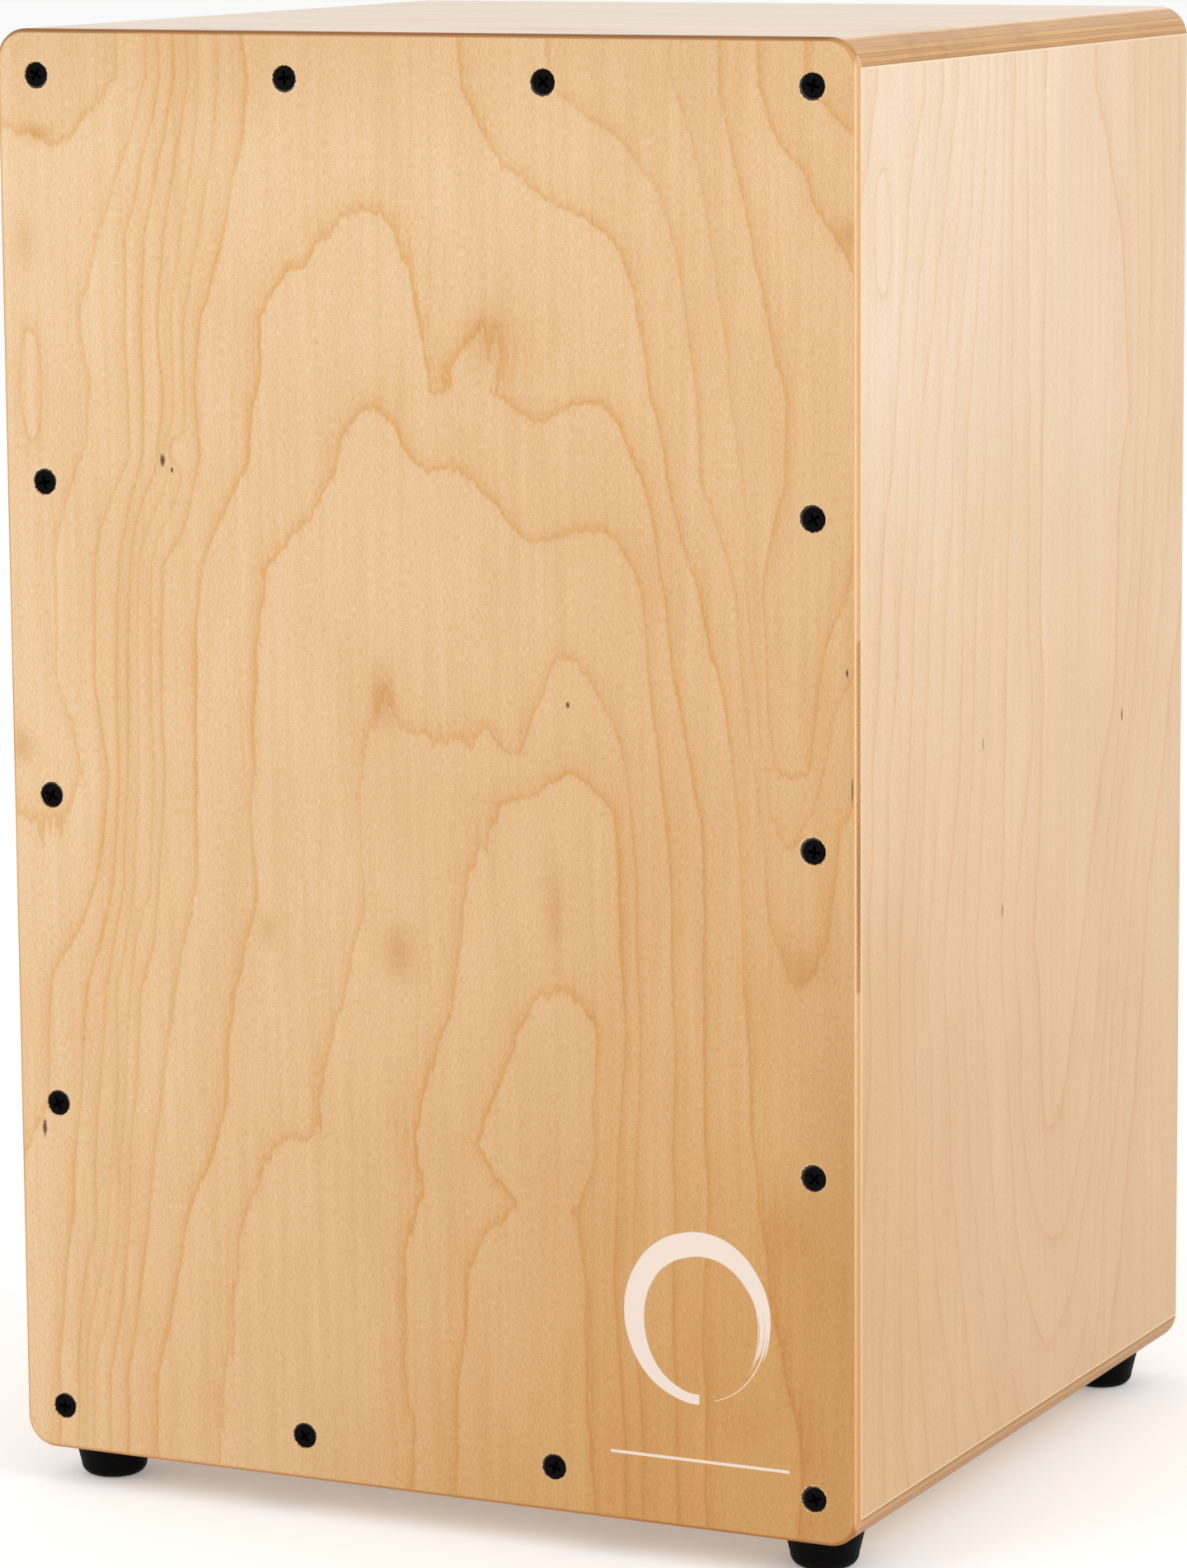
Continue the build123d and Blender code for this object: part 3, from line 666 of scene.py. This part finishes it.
# The print, in mm: the ring's middle, its radius, the line's height, and half the line's length
EMBLEM = (96.0, 80.0)
EMBLEM_RADIUS = 25.0
LINE_HEIGHT = 35.0
LINE_HALF = 31.0


def emblem(g, x, z):
    """A plain printed ring drawn with a broad dry brush, and a line under it, 0 to 1."""
    across = (x - EMBLEM[0]) / 0.9
    upward = z - EMBLEM[1]
    turn = g.math("ARCTAN2", across, upward) / math.tau + 0.5
    distance = g.length(across, upward)
    width = g.smooth(turn, 0.0, 0.30, 1.6, 4.0) - g.smooth(turn, 0.45, 0.95) * 2.6
    wobble = g.noise(turn * 6.0, 1.5, 0.0) * 0.7
    stroke = g.smooth(abs(distance - EMBLEM_RADIUS - wobble) - width, 0.15, -0.15)
    bristles = g.noise(distance * 1.7, turn * 5.0, 2.0, detail=2.0)
    dry = g.smooth(turn, 0.62, 0.97) * 0.9
    stroke = stroke * g.smooth(bristles + 0.55 - dry, -0.05, 0.08) * g.less(turn, 0.965)
    line = g.smooth(abs(z - LINE_HEIGHT), 0.55, 0.40)
    line = line * g.smooth(abs(x - EMBLEM[0]), LINE_HALF, LINE_HALF - 0.2)
    return g.math("MAXIMUM", stroke, line)


# The striking plate, in mm: its outer plies' thickness, its corners' radius, and where its edge has split
FACE_PLY = 0.55
CORNER = 10.0
SPLIT_LOW = 189.0
SPLIT_HIGH = 298.0

# Light and dark of its outer plies and its middle ply, and of the torn fibres in the split
OUTER_PLY = (linear(236, 203, 158), linear(220, 183, 132))
MIDDLE_PLY = (linear(218, 176, 126), linear(200, 152, 100))
TORN_PLY = (linear(198, 146, 82), linear(142, 90, 36))
LOW_EDGE_TINT = (0.90, 0.80, 0.66)


def tapa_edge(g, x, z, y):
    """The three plies on the striking plate's right edge, with a stretch where the middle one has split."""
    rear_seam = tapa_high.y - FACE_PLY
    front_seam = tapa_low.y + FACE_PLY
    inner = g.smooth(y, rear_seam - 0.05, rear_seam + 0.05)
    middle = g.smooth(y, front_seam - 0.05, front_seam + 0.05) - inner
    grain = g.noise(z * 0.35, y * 2.0, 5.0, detail=4.0, roughness=0.7)
    ragged = g.noise(z * 1.6, y * 2.5, 7.0, detail=4.0, roughness=0.7)
    colour = g.mix(g.clamp(0.5 + grain * 0.8), *OUTER_PLY)
    colour = g.mix(middle, colour, g.mix(g.clamp(0.5 + grain), *MIDDLE_PLY))
    colour = g.tint(colour, g.smooth(z, 220.0, 20.0), LOW_EDGE_TINT)
    split = g.smooth(z, SPLIT_HIGH + 0.5, SPLIT_HIGH - 0.5) * g.smooth(z, SPLIT_LOW - 0.5, SPLIT_LOW + 0.5)
    dark = g.clamp(0.35 + g.bell(z, 222.0, 24.0) * 0.45 + ragged * 1.5)
    torn = g.clamp(0.85 + ragged * 0.9)
    return g.mix(middle * split * torn, colour, g.mix(dark, *TORN_PLY))


# Soft stains in the striking plate's veneer, in mm: where, how far across and along the grain, and how deep
STAINS = (
    ((-13.0, 271.0), (4.5, 10.0), 0.8),
    ((24.0, 386.0), (7.0, 10.0), 0.5),
    ((-8.0, 190.0), (6.0, 9.0), 0.8),
    ((-56.0, 194.0), (3.5, 6.0), 0.6),
    ((47.0, 207.0), (3.5, 15.0), 0.6),
    ((-146.0, 248.0), (4.0, 6.0), 0.8),
    ((132.0, 196.0), (8.0, 7.0), 0.5),
    ((-135.0, 447.0), (5.0, 3.0), 0.7),
    ((-141.0, 412.0), (4.0, 8.0), 0.5),
    ((148.0, 421.0), (5.0, 5.0), 0.7),
    ((126.0, 112.0), (9.0, 14.0), 0.45),
    ((112.0, 48.0), (7.0, 9.0), 0.35),
)


def plate_outline(g, x, z):
    """How far a point is past the striking plate's rounded outline, less than 0 inside it."""
    middle = (tapa_low.z + tapa_high.z) / 2
    past_x = abs(x) - (tapa_high.x - CORNER)
    past_z = abs(z - middle) - (tapa_high.z - middle - CORNER)
    corner = g.length(g.math("MAXIMUM", past_x, 0.0), g.math("MAXIMUM", past_z, 0.0))
    return corner + g.math("MINIMUM", g.math("MAXIMUM", past_x, past_z), 0.0) - CORNER


# The box's width and the heights between which its painted shade changes, in mm
BOX_WIDTH = 300.0
BOX_TOP = 480.0
BOX_FOOT = 12.0

TAPA_SHADE_TINT = (0.74, 0.565, 0.29)
LOWER_RIGHT_SHADE_TINT = (0.91, 0.87, 0.84)
STAIN_TINT = (0.84, 0.68, 0.46)
TAPA_FIBRE_TINT = (0.84, 0.70, 0.45)
RIM_SHADE_TINT = (0.56, 0.43, 0.26)
PALE_FIBRE = linear(240, 210, 164)
HOLE_SHADE = linear(44, 26, 14)
PRINT = linear(229, 214, 203)


def tapa_shade(g, u, v):
    """How deep the painted shade over the lacquered veneer is: deepest at the lower right, and deeper along
    the top.
    """
    across = (u + BOX_WIDTH / 2) / BOX_WIDTH
    down = (BOX_TOP - v) / (BOX_TOP - BOX_FOOT)
    painted_shade = across * 0.31 + down * 0.22 + across * down * 0.54
    painted_shade = painted_shade + across * g.smooth(down, 0.6, 1.0) * 0.27 - 0.05
    painted_shade = painted_shade + g.smooth(v, 435.0, BOX_TOP) * (0.36 - across * 0.22)
    return g.clamp(painted_shade)


def tapa_finish(g, u, v, t, colour, height):
    """Painted shade and stains, the split edge, a rim of painted shade along the top, painted shadow in the
    torn fibres round the screws, and the print.
    """
    # painted shade: darker and warmer towards the lower right, and along the top
    colour = g.tint(colour, tapa_shade(g, u, v), TAPA_SHADE_TINT)
    # painted shade: the lower right corner darker still
    colour = g.tint(colour, g.smooth(u, 120.0, 146.0) * g.smooth(v, 240.0, 130.0), LOWER_RIGHT_SHADE_TINT)
    for at, size, depth in STAINS:
        stain = g.bell(u, at[0], size[0]) * g.bell(v, at[1], size[1]) * depth
        colour = g.tint(colour, stain, STAIN_TINT)
    plies = tapa_edge(g, u, v, t)
    on_right = g.smooth(u, tapa_high.x - 1.5, tapa_high.x - 0.7)
    colour = g.mix(on_right, colour, plies)
    # painted shade: a dark rim along the plate's rounded top edge, fading out towards the right corner
    rim_shade = g.smooth(plate_outline(g, u, v), -1.9, -0.4) * g.smooth(v, tapa_high.z - 12.0, tapa_high.z - 5.0)
    colour = g.tint(colour, rim_shade * g.smooth(u, 146.0, 138.0), RIM_SHADE_TINT)
    # painted shadow: dark ragged teeth round each screw hole, where the torn fibres would shade it, with
    # pale fibres round them
    distance = screw_distance(g, u, v)
    ragged = distance + g.noise(u * 2.4, v * 1.0, 3.0, detail=3.0, roughness=0.7) * 0.7
    torn = g.smooth(ragged, SCREW_HOLE + 0.15, SCREW_HOLE)
    pale = g.smooth(ragged, SCREW_HOLE + 0.8, SCREW_HOLE + 0.4) * g.smooth(ragged - distance, -0.05, 0.15)
    colour = g.mix(pale * 0.6, colour, PALE_FIBRE)
    colour = g.mix(torn, colour, HOLE_SHADE)
    print_on = emblem(g, u, v) * g.less(t, tapa_low.y + 0.5)
    colour = g.mix(print_on * 0.94, colour, PRINT)
    return colour, height - torn * 0.6


# Pin knots, in mm: where, and how far across and along the grain
TAPA_KNOTS = (
    ((-91.4, 343.5), (1.0, 2.2)),
    ((-88.0, 340.5), (0.5, 1.0)),
    ((52.0, 272.8), (0.7, 1.1)),
    ((-140.7, 121.0), (0.9, 3.2)),
    ((146.6, 288.0), (0.5, 1.3)),
    ((148.3, 252.0), (0.25, 4.5)),
)
SIDE_KNOTS = (
    ((83.5, 244.0), (0.9, 2.3)),
    ((-24.0, 195.0), (0.5, 2.6)),
    ((-41.0, 252.0), (0.4, 2.8)),
)


def tapa_material():
    """The striking plate's thin birch plywood, with the figure, stains and knots of the photograph's."""
    return plywood(
        "tapa_birch",
        field("tapa_rings", tapa_rings),
        "xzy",
        (tapa_low.y, tapa_high.y),
        TAPA_BIRCH,
        2.0,
        count=3,
        knots=TAPA_KNOTS,
        finish=tapa_finish,
        fibre_tint=TAPA_FIBRE_TINT,
    )


SIDE_RING_TINT = (0.94, 0.83, 0.67)
SIDE_SHADE_TINT = (0.86, 0.76, 0.60)
SIDE_SHEEN = (1.05, 1.14, 1.31)
SIDE_FRONT_SHADE_TINT = (0.96, 0.915, 0.80)
ARRIS_HIGHLIGHT = linear(242, 214, 176)


def side_finish(g, u, v, t, colour, height):
    """A side is paler at its top front under a painted sheen, darker and warmer towards the floor and its
    lower front under painted shade, and palest along its edges under painted highlights.
    """
    # painted shade: darker and warmer towards the floor, more so at the lower front
    painted_shade = g.smooth(v, BOX_TOP, BOX_FOOT)
    painted_shade = painted_shade + g.smooth(u, 60.0, -150.0) * g.smooth(v, 260.0, BOX_FOOT) * 0.4
    colour = g.tint(colour, painted_shade * 0.85, SIDE_SHADE_TINT)
    # painted sheen: the upper front paler where light reflects
    colour = g.tint(colour, g.smooth(u, 130.0, -60.0) * g.smooth(v, 240.0, 400.0), SIDE_SHEEN)
    # painted shade: the lower front darker still
    near_front = g.smooth(u, -60.0, -135.0) * g.smooth(v, 240.0, 180.0) * g.smooth(v, 20.0, 70.0)
    colour = g.tint(colour, near_front, SIDE_FRONT_SHADE_TINT)
    # painted highlight: pale lines along the front, top and bottom edges, where small chamfers would catch
    # the light
    arris_highlight = g.smooth(u, tapa_high.y + 0.9, tapa_high.y + 0.5)
    arris_highlight = arris_highlight + g.smooth(v, right_high.z - 0.9, right_high.z - 0.5)
    arris_highlight = arris_highlight + g.smooth(v, right_low.z + 0.9, right_low.z + 0.5)
    colour = g.mix(g.clamp(arris_highlight) * 0.5, colour, ARRIS_HIGHLIGHT)
    return colour, height


def side_material(name, low_x, high_x, seed):
    """A side's birch plywood, from one x to another."""
    return plywood(
        name,
        field(name + "_rings", side_rings),
        "yzx",
        (low_x, high_x),
        BIRCH,
        seed,
        knots=SIDE_KNOTS,
        finish=side_finish,
        ring_tint=SIDE_RING_TINT,
    )


LEVEL_RING_TINT = (0.90, 0.79, 0.64)
WEAR_TINT = (0.80, 0.70, 0.58)
SEAT_JOINT_SHADOW_TINT = (0.60, 0.47, 0.34)


def seat_finish(g, u, v, t, colour, height):
    """The seat is dulled by use, in cloudy streaks that are strongest near the player's legs."""
    streak = g.noise(u * 0.035, v * 0.012, 3.0, detail=4.0, roughness=0.6)
    near_front = g.smooth(u, 60.0, -140.0)
    colour = g.tint(colour, g.smooth(streak, -0.05, 0.45) * (0.25 + near_front * 0.5), WEAR_TINT)
    # painted shadow: a dark line where the seat meets the sides
    joint_shadow = g.smooth(t, top_low.z + 0.45, top_low.z + 0.15)
    return g.tint(colour, joint_shadow * 0.6, SEAT_JOINT_SHADOW_TINT), height + streak * 0.3


LOW_PLY_TINT = (0.80, 0.68, 0.54)
FLOOR_JOINT_SHADOW_TINT = (0.50, 0.38, 0.28)


def floor_finish(g, u, v, t, colour, height):
    """Painted shadow in the joint between the floor panel and the sides, and the panel's edge darker towards
    the bottom.
    """
    # painted shadow: a dark line where the floor panel meets the sides
    joint_shadow = g.smooth(t, bottom_high.z - 0.75, bottom_high.z - 0.25)
    on_edge = edge_facing(g, g.normal()[2])
    colour = g.tint(colour, on_edge * g.smooth(t, bottom_high.z, bottom_low.z + 2.0), LOW_PLY_TINT)
    return g.tint(colour, joint_shadow * 0.9, FLOOR_JOINT_SHADOW_TINT), height


def level_material(name, low_z, high_z, seed, finish, seam=0.5, base=BIRCH):
    """The plywood of a level panel, from one height to another."""
    return plywood(
        name,
        field(name + "_rings", plain_rings(seed, 17.0)),
        "yxz",
        (low_z, high_z),
        base,
        seed,
        finish=finish,
        gloss=0.18,
        satin=0.16,
        seam=seam,
        ring_tint=LEVEL_RING_TINT,
    )


def back_material():
    """The back's thin plywood."""
    return plywood(
        "back_birch",
        field("back_rings", plain_rings(41.0, 19.0)),
        "xzy",
        (back_low.y, back_high.y),
        BACK_BIRCH,
        41.0,
        count=3,
    )


PINE = linear(232, 201, 152)
PINE_LATE = linear(201, 152, 96)
PINE_FIBRE_TINT = (0.88, 0.80, 0.68)


def batten_material(name, axes, seed):
    """Sawn softwood: close straight rings, and ring ends on the cut ends. axes is as in plywood."""
    made, g, shader = new_material(name)
    place = dict(zip("xyz", g.place()))
    u, v, w = (place[a] for a in axes)
    bend = g.noise(v * 0.006, seed, 2.0) * 3.0
    phase = g.math("FRACT", u * 0.55 + w * 0.32 + bend + g.noise(u * 0.2, v * 0.01, w * 0.2) * 0.4)
    late = g.smooth(phase, 0.35, 0.95) * g.smooth(phase, 1.0, 0.97)
    fibre = g.noise(u * 2.4, v * 0.08, w * 2.4, detail=3.0, roughness=0.65)
    colour = g.mix(late * 0.8, PINE, PINE_LATE)
    colour = g.tint(colour, g.clamp(0.5 + fibre) * 0.6, PINE_FIBRE_TINT)
    height = 0.5 + fibre * 0.3 + late * 0.2
    g.put(shader.inputs["Base Color"], colour)
    g.put(shader.inputs["Roughness"], g.clamp(0.66 - late * 0.12 + fibre * 0.08))
    g.put(shader.inputs["Normal"], g.bump(height, 0.00012))
    return made


# ---------------------------------------------------------------- metal and rubber


PHOSPHATE = ((0.0010, 0.0009, 0.0009), (0.0035, 0.0032, 0.0030))
SCREW_DUST = (0.016, 0.014, 0.012)


def black_screw_material():
    """Black phosphate over steel: a fine dull grain with a little dust on it."""
    made, g, shader = new_material("black_phosphate")
    x, y, z = g.place()
    grain = g.noise(x * 2.2, y * 2.2, z * 2.2, detail=4.0, roughness=0.7)
    dust = g.smooth(g.noise(x * 0.9, y * 0.9, z * 0.9, detail=3.0), 0.1, 0.7)
    colour = g.mix(g.clamp(0.4 + grain * 0.6), *PHOSPHATE)
    colour = g.mix(dust * 0.15, colour, SCREW_DUST)
    g.put(shader.inputs["Base Color"], colour)
    g.put(shader.inputs["Roughness"], g.clamp(0.42 + grain * 0.18 + dust * 0.15))
    g.put(shader.inputs["Normal"], g.bump(grain, 0.00008))
    shader.inputs["Specular IOR Level"].default_value = 0.045
    return made


RUBBER = ((0.0012, 0.0012, 0.0013), (0.0040, 0.0039, 0.0040))
FLOOR_DUST = (0.035, 0.032, 0.028)


def rubber_material():
    """Moulded black rubber: a fine matt skin, faint mould lines and floor dust near the tread."""
    made, g, shader = new_material("black_rubber")
    x, y, z = g.place()
    skin = g.noise(x * 1.7, y * 1.7, z * 1.7, detail=4.0, roughness=0.65)
    broad = g.noise(x * 0.12, y * 0.12, z * 0.2, detail=3.0)
    dust = g.smooth(z, 3.5, 0.0) * g.clamp(0.5 + broad)
    colour = g.mix(g.clamp(0.5 + skin * 0.7), *RUBBER)
    colour = g.mix(dust * 0.2, colour, FLOOR_DUST)
    ridge = g.smooth(abs(g.math("FRACT", z * 0.5) - 0.5), 0.46, 0.5)
    g.put(shader.inputs["Base Color"], colour)
    g.put(shader.inputs["Roughness"], g.clamp(0.52 + skin * 0.12 + broad * 0.10 + dust * 0.2))
    g.put(shader.inputs["Normal"], g.bump(skin * 0.5 + ridge * 0.3, 0.0001))
    shader.inputs["Specular IOR Level"].default_value = 0.04
    return made


# Plain metals: bright and dark colour, roughness, how the brushing's noise is scaled along x, y, z, and seed
METALS = {
    "zinc_plate": ((0.62, 0.63, 0.64), (0.44, 0.44, 0.43), 0.34, (1.5, 1.5, 1.5), 1.0),
    "turned_brass": ((0.78, 0.56, 0.24), (0.52, 0.35, 0.14), 0.30, (0.4, 4.0, 0.4), 2.0),
    "milled_aluminium": ((0.56, 0.57, 0.58), (0.44, 0.44, 0.45), 0.38, (0.15, 5.0, 5.0), 3.0),
    "ground_steel": ((0.66, 0.66, 0.67), (0.48, 0.48, 0.48), 0.26, (4.0, 4.0, 0.4), 5.0),
}


def metal_material(name):
    """One of the plain metals, with fine brushing and slight tarnish."""
    bright, dark, roughness, brushed, seed = METALS[name]
    made, g, shader = new_material(name)
    x, y, z = g.place()
    brush = g.noise(x * brushed[0], y * brushed[1], z * brushed[2] + seed, detail=3.0, roughness=0.6)
    tarnish = g.noise(x * 0.12, y * 0.12, z * 0.12 + seed, detail=2.0, roughness=0.5)
    colour = g.mix(g.clamp(0.5 + tarnish * 0.5 + brush * 0.5), bright, dark)
    g.put(shader.inputs["Base Color"], colour)
    g.put(shader.inputs["Roughness"], g.clamp(roughness + brush * 0.12 + tarnish * 0.08, 0.08, 0.9))
    g.put(shader.inputs["Normal"], g.bump(brush, 0.00003))
    shader.inputs["Metallic"].default_value = 1.0
    return made


# The tension bolts, in mm: one turn of the thread, and how far to each side and how far forward they stand
THREAD_PITCH = 0.8
BOLT_PLACE = (60.0, -132.0)
BLACK_OXIDE = ((0.085, 0.085, 0.090), (0.040, 0.038, 0.036))
WORN_RIDGE = (0.22, 0.21, 0.20)


def bolt_material():
    """Black-oxided steel with the thread's ridge winding up the shank."""
    made, g, shader = new_material("black_oxide")
    x, y, z = g.place()
    grain = g.noise(x * 3.0, y * 3.0, z * 3.0, detail=3.0, roughness=0.6)
    behind = y - BOLT_PLACE[1]
    aside = x - g.math("SIGN", x) * BOLT_PLACE[0]
    turn = g.math("ARCTAN2", behind, aside) / math.tau
    ridge = abs(g.math("FRACT", z / THREAD_PITCH - turn + 8.0) - 0.5) * 2.0
    colour = g.mix(g.clamp(0.5 + grain), *BLACK_OXIDE)
    colour = g.mix(g.smooth(ridge, 0.6, 0.95) * 0.5, colour, WORN_RIDGE)
    g.put(shader.inputs["Base Color"], colour)
    g.put(shader.inputs["Roughness"], g.clamp(0.40 + grain * 0.15))
    g.put(shader.inputs["Normal"], g.bump(ridge, 0.0003))
    shader.inputs["Metallic"].default_value = 1.0
    return made


BRONZE = ((0.55, 0.40, 0.22), (0.42, 0.28, 0.15))
GROOVE_TINT = (0.35, 0.30, 0.26)


def wound_string_material():
    """Steel string wrapped with fine bronze wire: the turns show as ridges."""
    made, g, shader = new_material("wound_string")
    x, y, z = g.place()
    turn = abs(g.math("FRACT", z * 2.4) - 0.5) * 2.0
    tarnish = g.noise(x * 0.5, y * 0.5, z * 0.08, detail=3.0)
    colour = g.mix(g.clamp(0.5 + tarnish), *BRONZE)
    colour = g.tint(colour, g.smooth(turn, 0.5, 0.95), GROOVE_TINT)
    g.put(shader.inputs["Base Color"], colour)
    g.put(shader.inputs["Roughness"], g.clamp(0.30 + turn * 0.15 + tarnish * 0.08))
    g.put(shader.inputs["Normal"], g.bump(1.0 - turn * turn, 0.00012))
    shader.inputs["Metallic"].default_value = 1.0
    return made


# ---------------------------------------------------------------- the CAD nodes' materials


def dress(names, material):
    """Gives CAD pieces their material."""
    for name in names:
        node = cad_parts[name]
        node.data.materials.clear()
        node.data.materials.append(material)


def dress_cad():
    """Gives every CAD piece its material."""
    dress(["tapa"], tapa_material())
    dress(["right_panel"], side_material("right_birch", right_low.x, right_high.x, 5.0))
    dress(["left_panel"], side_material("left_birch", left_low.x, left_high.x, 15.0))
    seat = level_material("seat_birch", top_low.z, top_high.z, 25.0, seat_finish, base=SEAT_BIRCH)
    dress(["top_panel"], seat)
    floor = level_material("floor_birch", bottom_low.z, bottom_high.z, 33.0, floor_finish, seam=0.95)
    dress(["bottom_panel"], floor)
    dress(["back_panel"], back_material())
    stiles = ["front_left_stile", "front_right_stile", "rear_left_stile", "rear_right_stile"]
    rails = ["front_top_rail", "front_bottom_rail", "rear_top_rail", "rear_bottom_rail"]
    dress(stiles, batten_material("stile_pine", "xzy", 3.0))
    dress(rails, batten_material("rail_pine", "zxy", 9.0))
    dress(["tapa_screws", "back_panel_screws", "foot_screws"], black_screw_material())
    feet = ["front_left_foot", "front_right_foot", "rear_left_foot", "rear_right_foot"]
    dress(feet, rubber_material())
    dress(["foot_washers", "bolt_washers"], metal_material("zinc_plate"))
    strings = [f"string_{side}_{place}" for side in ("left", "right") for place in ("outer", "inner")]
    dress(strings, wound_string_material())
    dress(["upper_ball_ends", "left_ball_ends", "right_ball_ends"], metal_material("turned_brass"))
    dress(["left_yoke", "right_yoke"], metal_material("milled_aluminium"))
    dress(["left_tension_bolt", "right_tension_bolt"], bolt_material())
    dress(["guide_pins"], metal_material("ground_steel"))


# ---------------------------------------------------------------- stage, lights and camera

# The floor: its side in metres, its two pale tones, and its own faint light
FLOOR_SIZE = 30.0
FLOOR_TONES = ((0.86, 0.86, 0.86), (0.84, 0.84, 0.84))
FLOOR_GLOW = 0.22


def make_floor():
    """A plain pale floor."""
    half = FLOOR_SIZE / 2
    mesh = bpy.data.meshes.new("floor")
    corners = [(-half, -half, 0), (half, -half, 0), (half, half, 0), (-half, half, 0)]
    mesh.from_pydata(corners, [], [(0, 1, 2, 3)])
    floor = bpy.data.objects.new("floor", mesh)
    bpy.context.scene.collection.objects.link(floor)
    made, g, shader = new_material("pale_floor")
    x, y, _ = g.place()
    cloud = g.noise(x * 0.004, y * 0.004, 0.0, detail=3.0)
    g.put(shader.inputs["Base Color"], g.mix(g.clamp(0.5 + cloud), *FLOOR_TONES))
    shader.inputs["Roughness"].default_value = 0.85
    shader.inputs["Specular IOR Level"].default_value = 0.1
    shader.inputs["Emission Color"].default_value = (1.0, 1.0, 1.0, 1.0)
    shader.inputs["Emission Strength"].default_value = FLOOR_GLOW
    mesh.materials.append(made)


BOX_MIDDLE = (0.0, 0.0, 0.26)

# Softboxes: where each one stands, what it is turned towards, its two sides in metres, its power in watts
SOFTBOXES = {
    "key": ((-1.2, -2.4, 2.1), BOX_MIDDLE, (1.4, 1.4), 20.0),
    "right_fill": ((1.2, -0.5, 1.0), (0.15, -0.1, 0.40), (0.7, 0.7), 4.5),
    "rear": ((0.4, 2.9, 1.9), BOX_MIDDLE, (2.6, 1.6), 8.0),
}
WORLD_STRENGTH = 0.86


def area_light(name, place, aim, size, power):
    """A rectangular white softbox at a place, turned towards its aim."""
    data = bpy.data.lights.new(name, "AREA")
    data.shape = "RECTANGLE"
    data.size, data.size_y = size
    data.energy = power
    light = bpy.data.objects.new(name, data)
    light.location = place
    light.rotation_mode = "QUATERNION"
    light.rotation_quaternion = (Vector(aim) - Vector(place)).to_track_quat("-Z", "Y")
    bpy.context.scene.collection.objects.link(light)


def make_lights():
    """Plain soft light: the softboxes and a white world."""
    for name, (place, aim, size, power) in SOFTBOXES.items():
        area_light(name, place, aim, size, power)
    world = bpy.data.worlds.new("studio")
    world.use_nodes = True
    g = Graph(world.node_tree)
    background = g.node("ShaderNodeBackground")
    background.inputs["Color"].default_value = (1.0, 1.0, 1.0, 1.0)
    background.inputs["Strength"].default_value = WORLD_STRENGTH
    output = g.node("ShaderNodeOutputWorld")
    g.tree.links.new(background.outputs[0], output.inputs[0])
    bpy.context.scene.world = world


# The camera fitted to the photograph, whose long side is 1903 pixels and takes the whole sensor
FRAME_HEIGHT = 1903
FOCAL_PIXELS = 7255.0
SENSOR = 36.0
CAMERA_PLACE = Vector((0.8610, -1.7947, 0.5480))
CAMERA_LOOK = Vector((-0.4296, 0.8869, -0.1608)).normalized()
CAMERA_ROLL = math.radians(-0.42)


def make_camera():
    """The camera of the photograph: long lens, front right, a little above, with a slight roll."""
    data = bpy.data.cameras.new("camera")
    data.sensor_width = SENSOR
    data.lens = FOCAL_PIXELS / FRAME_HEIGHT * SENSOR
    data.clip_start, data.clip_end = 0.05, 100.0
    camera = bpy.data.objects.new("camera", data)
    level = CAMERA_LOOK.cross(Vector((0, 0, 1))).normalized()
    raised = level.cross(CAMERA_LOOK)
    across = level * math.cos(CAMERA_ROLL) + raised * math.sin(CAMERA_ROLL)
    upward = raised * math.cos(CAMERA_ROLL) - level * math.sin(CAMERA_ROLL)
    turn = Matrix((across, upward, -CAMERA_LOOK)).transposed()
    camera.matrix_world = Matrix.Translation(CAMERA_PLACE) @ turn.to_4x4()
    bpy.context.scene.collection.objects.link(camera)
    bpy.context.scene.camera = camera


dress_cad()
make_floor()
make_lights()
make_camera()
bpy.context.scene.view_settings.view_transform = "Standard"
bpy.context.view_layer.update()
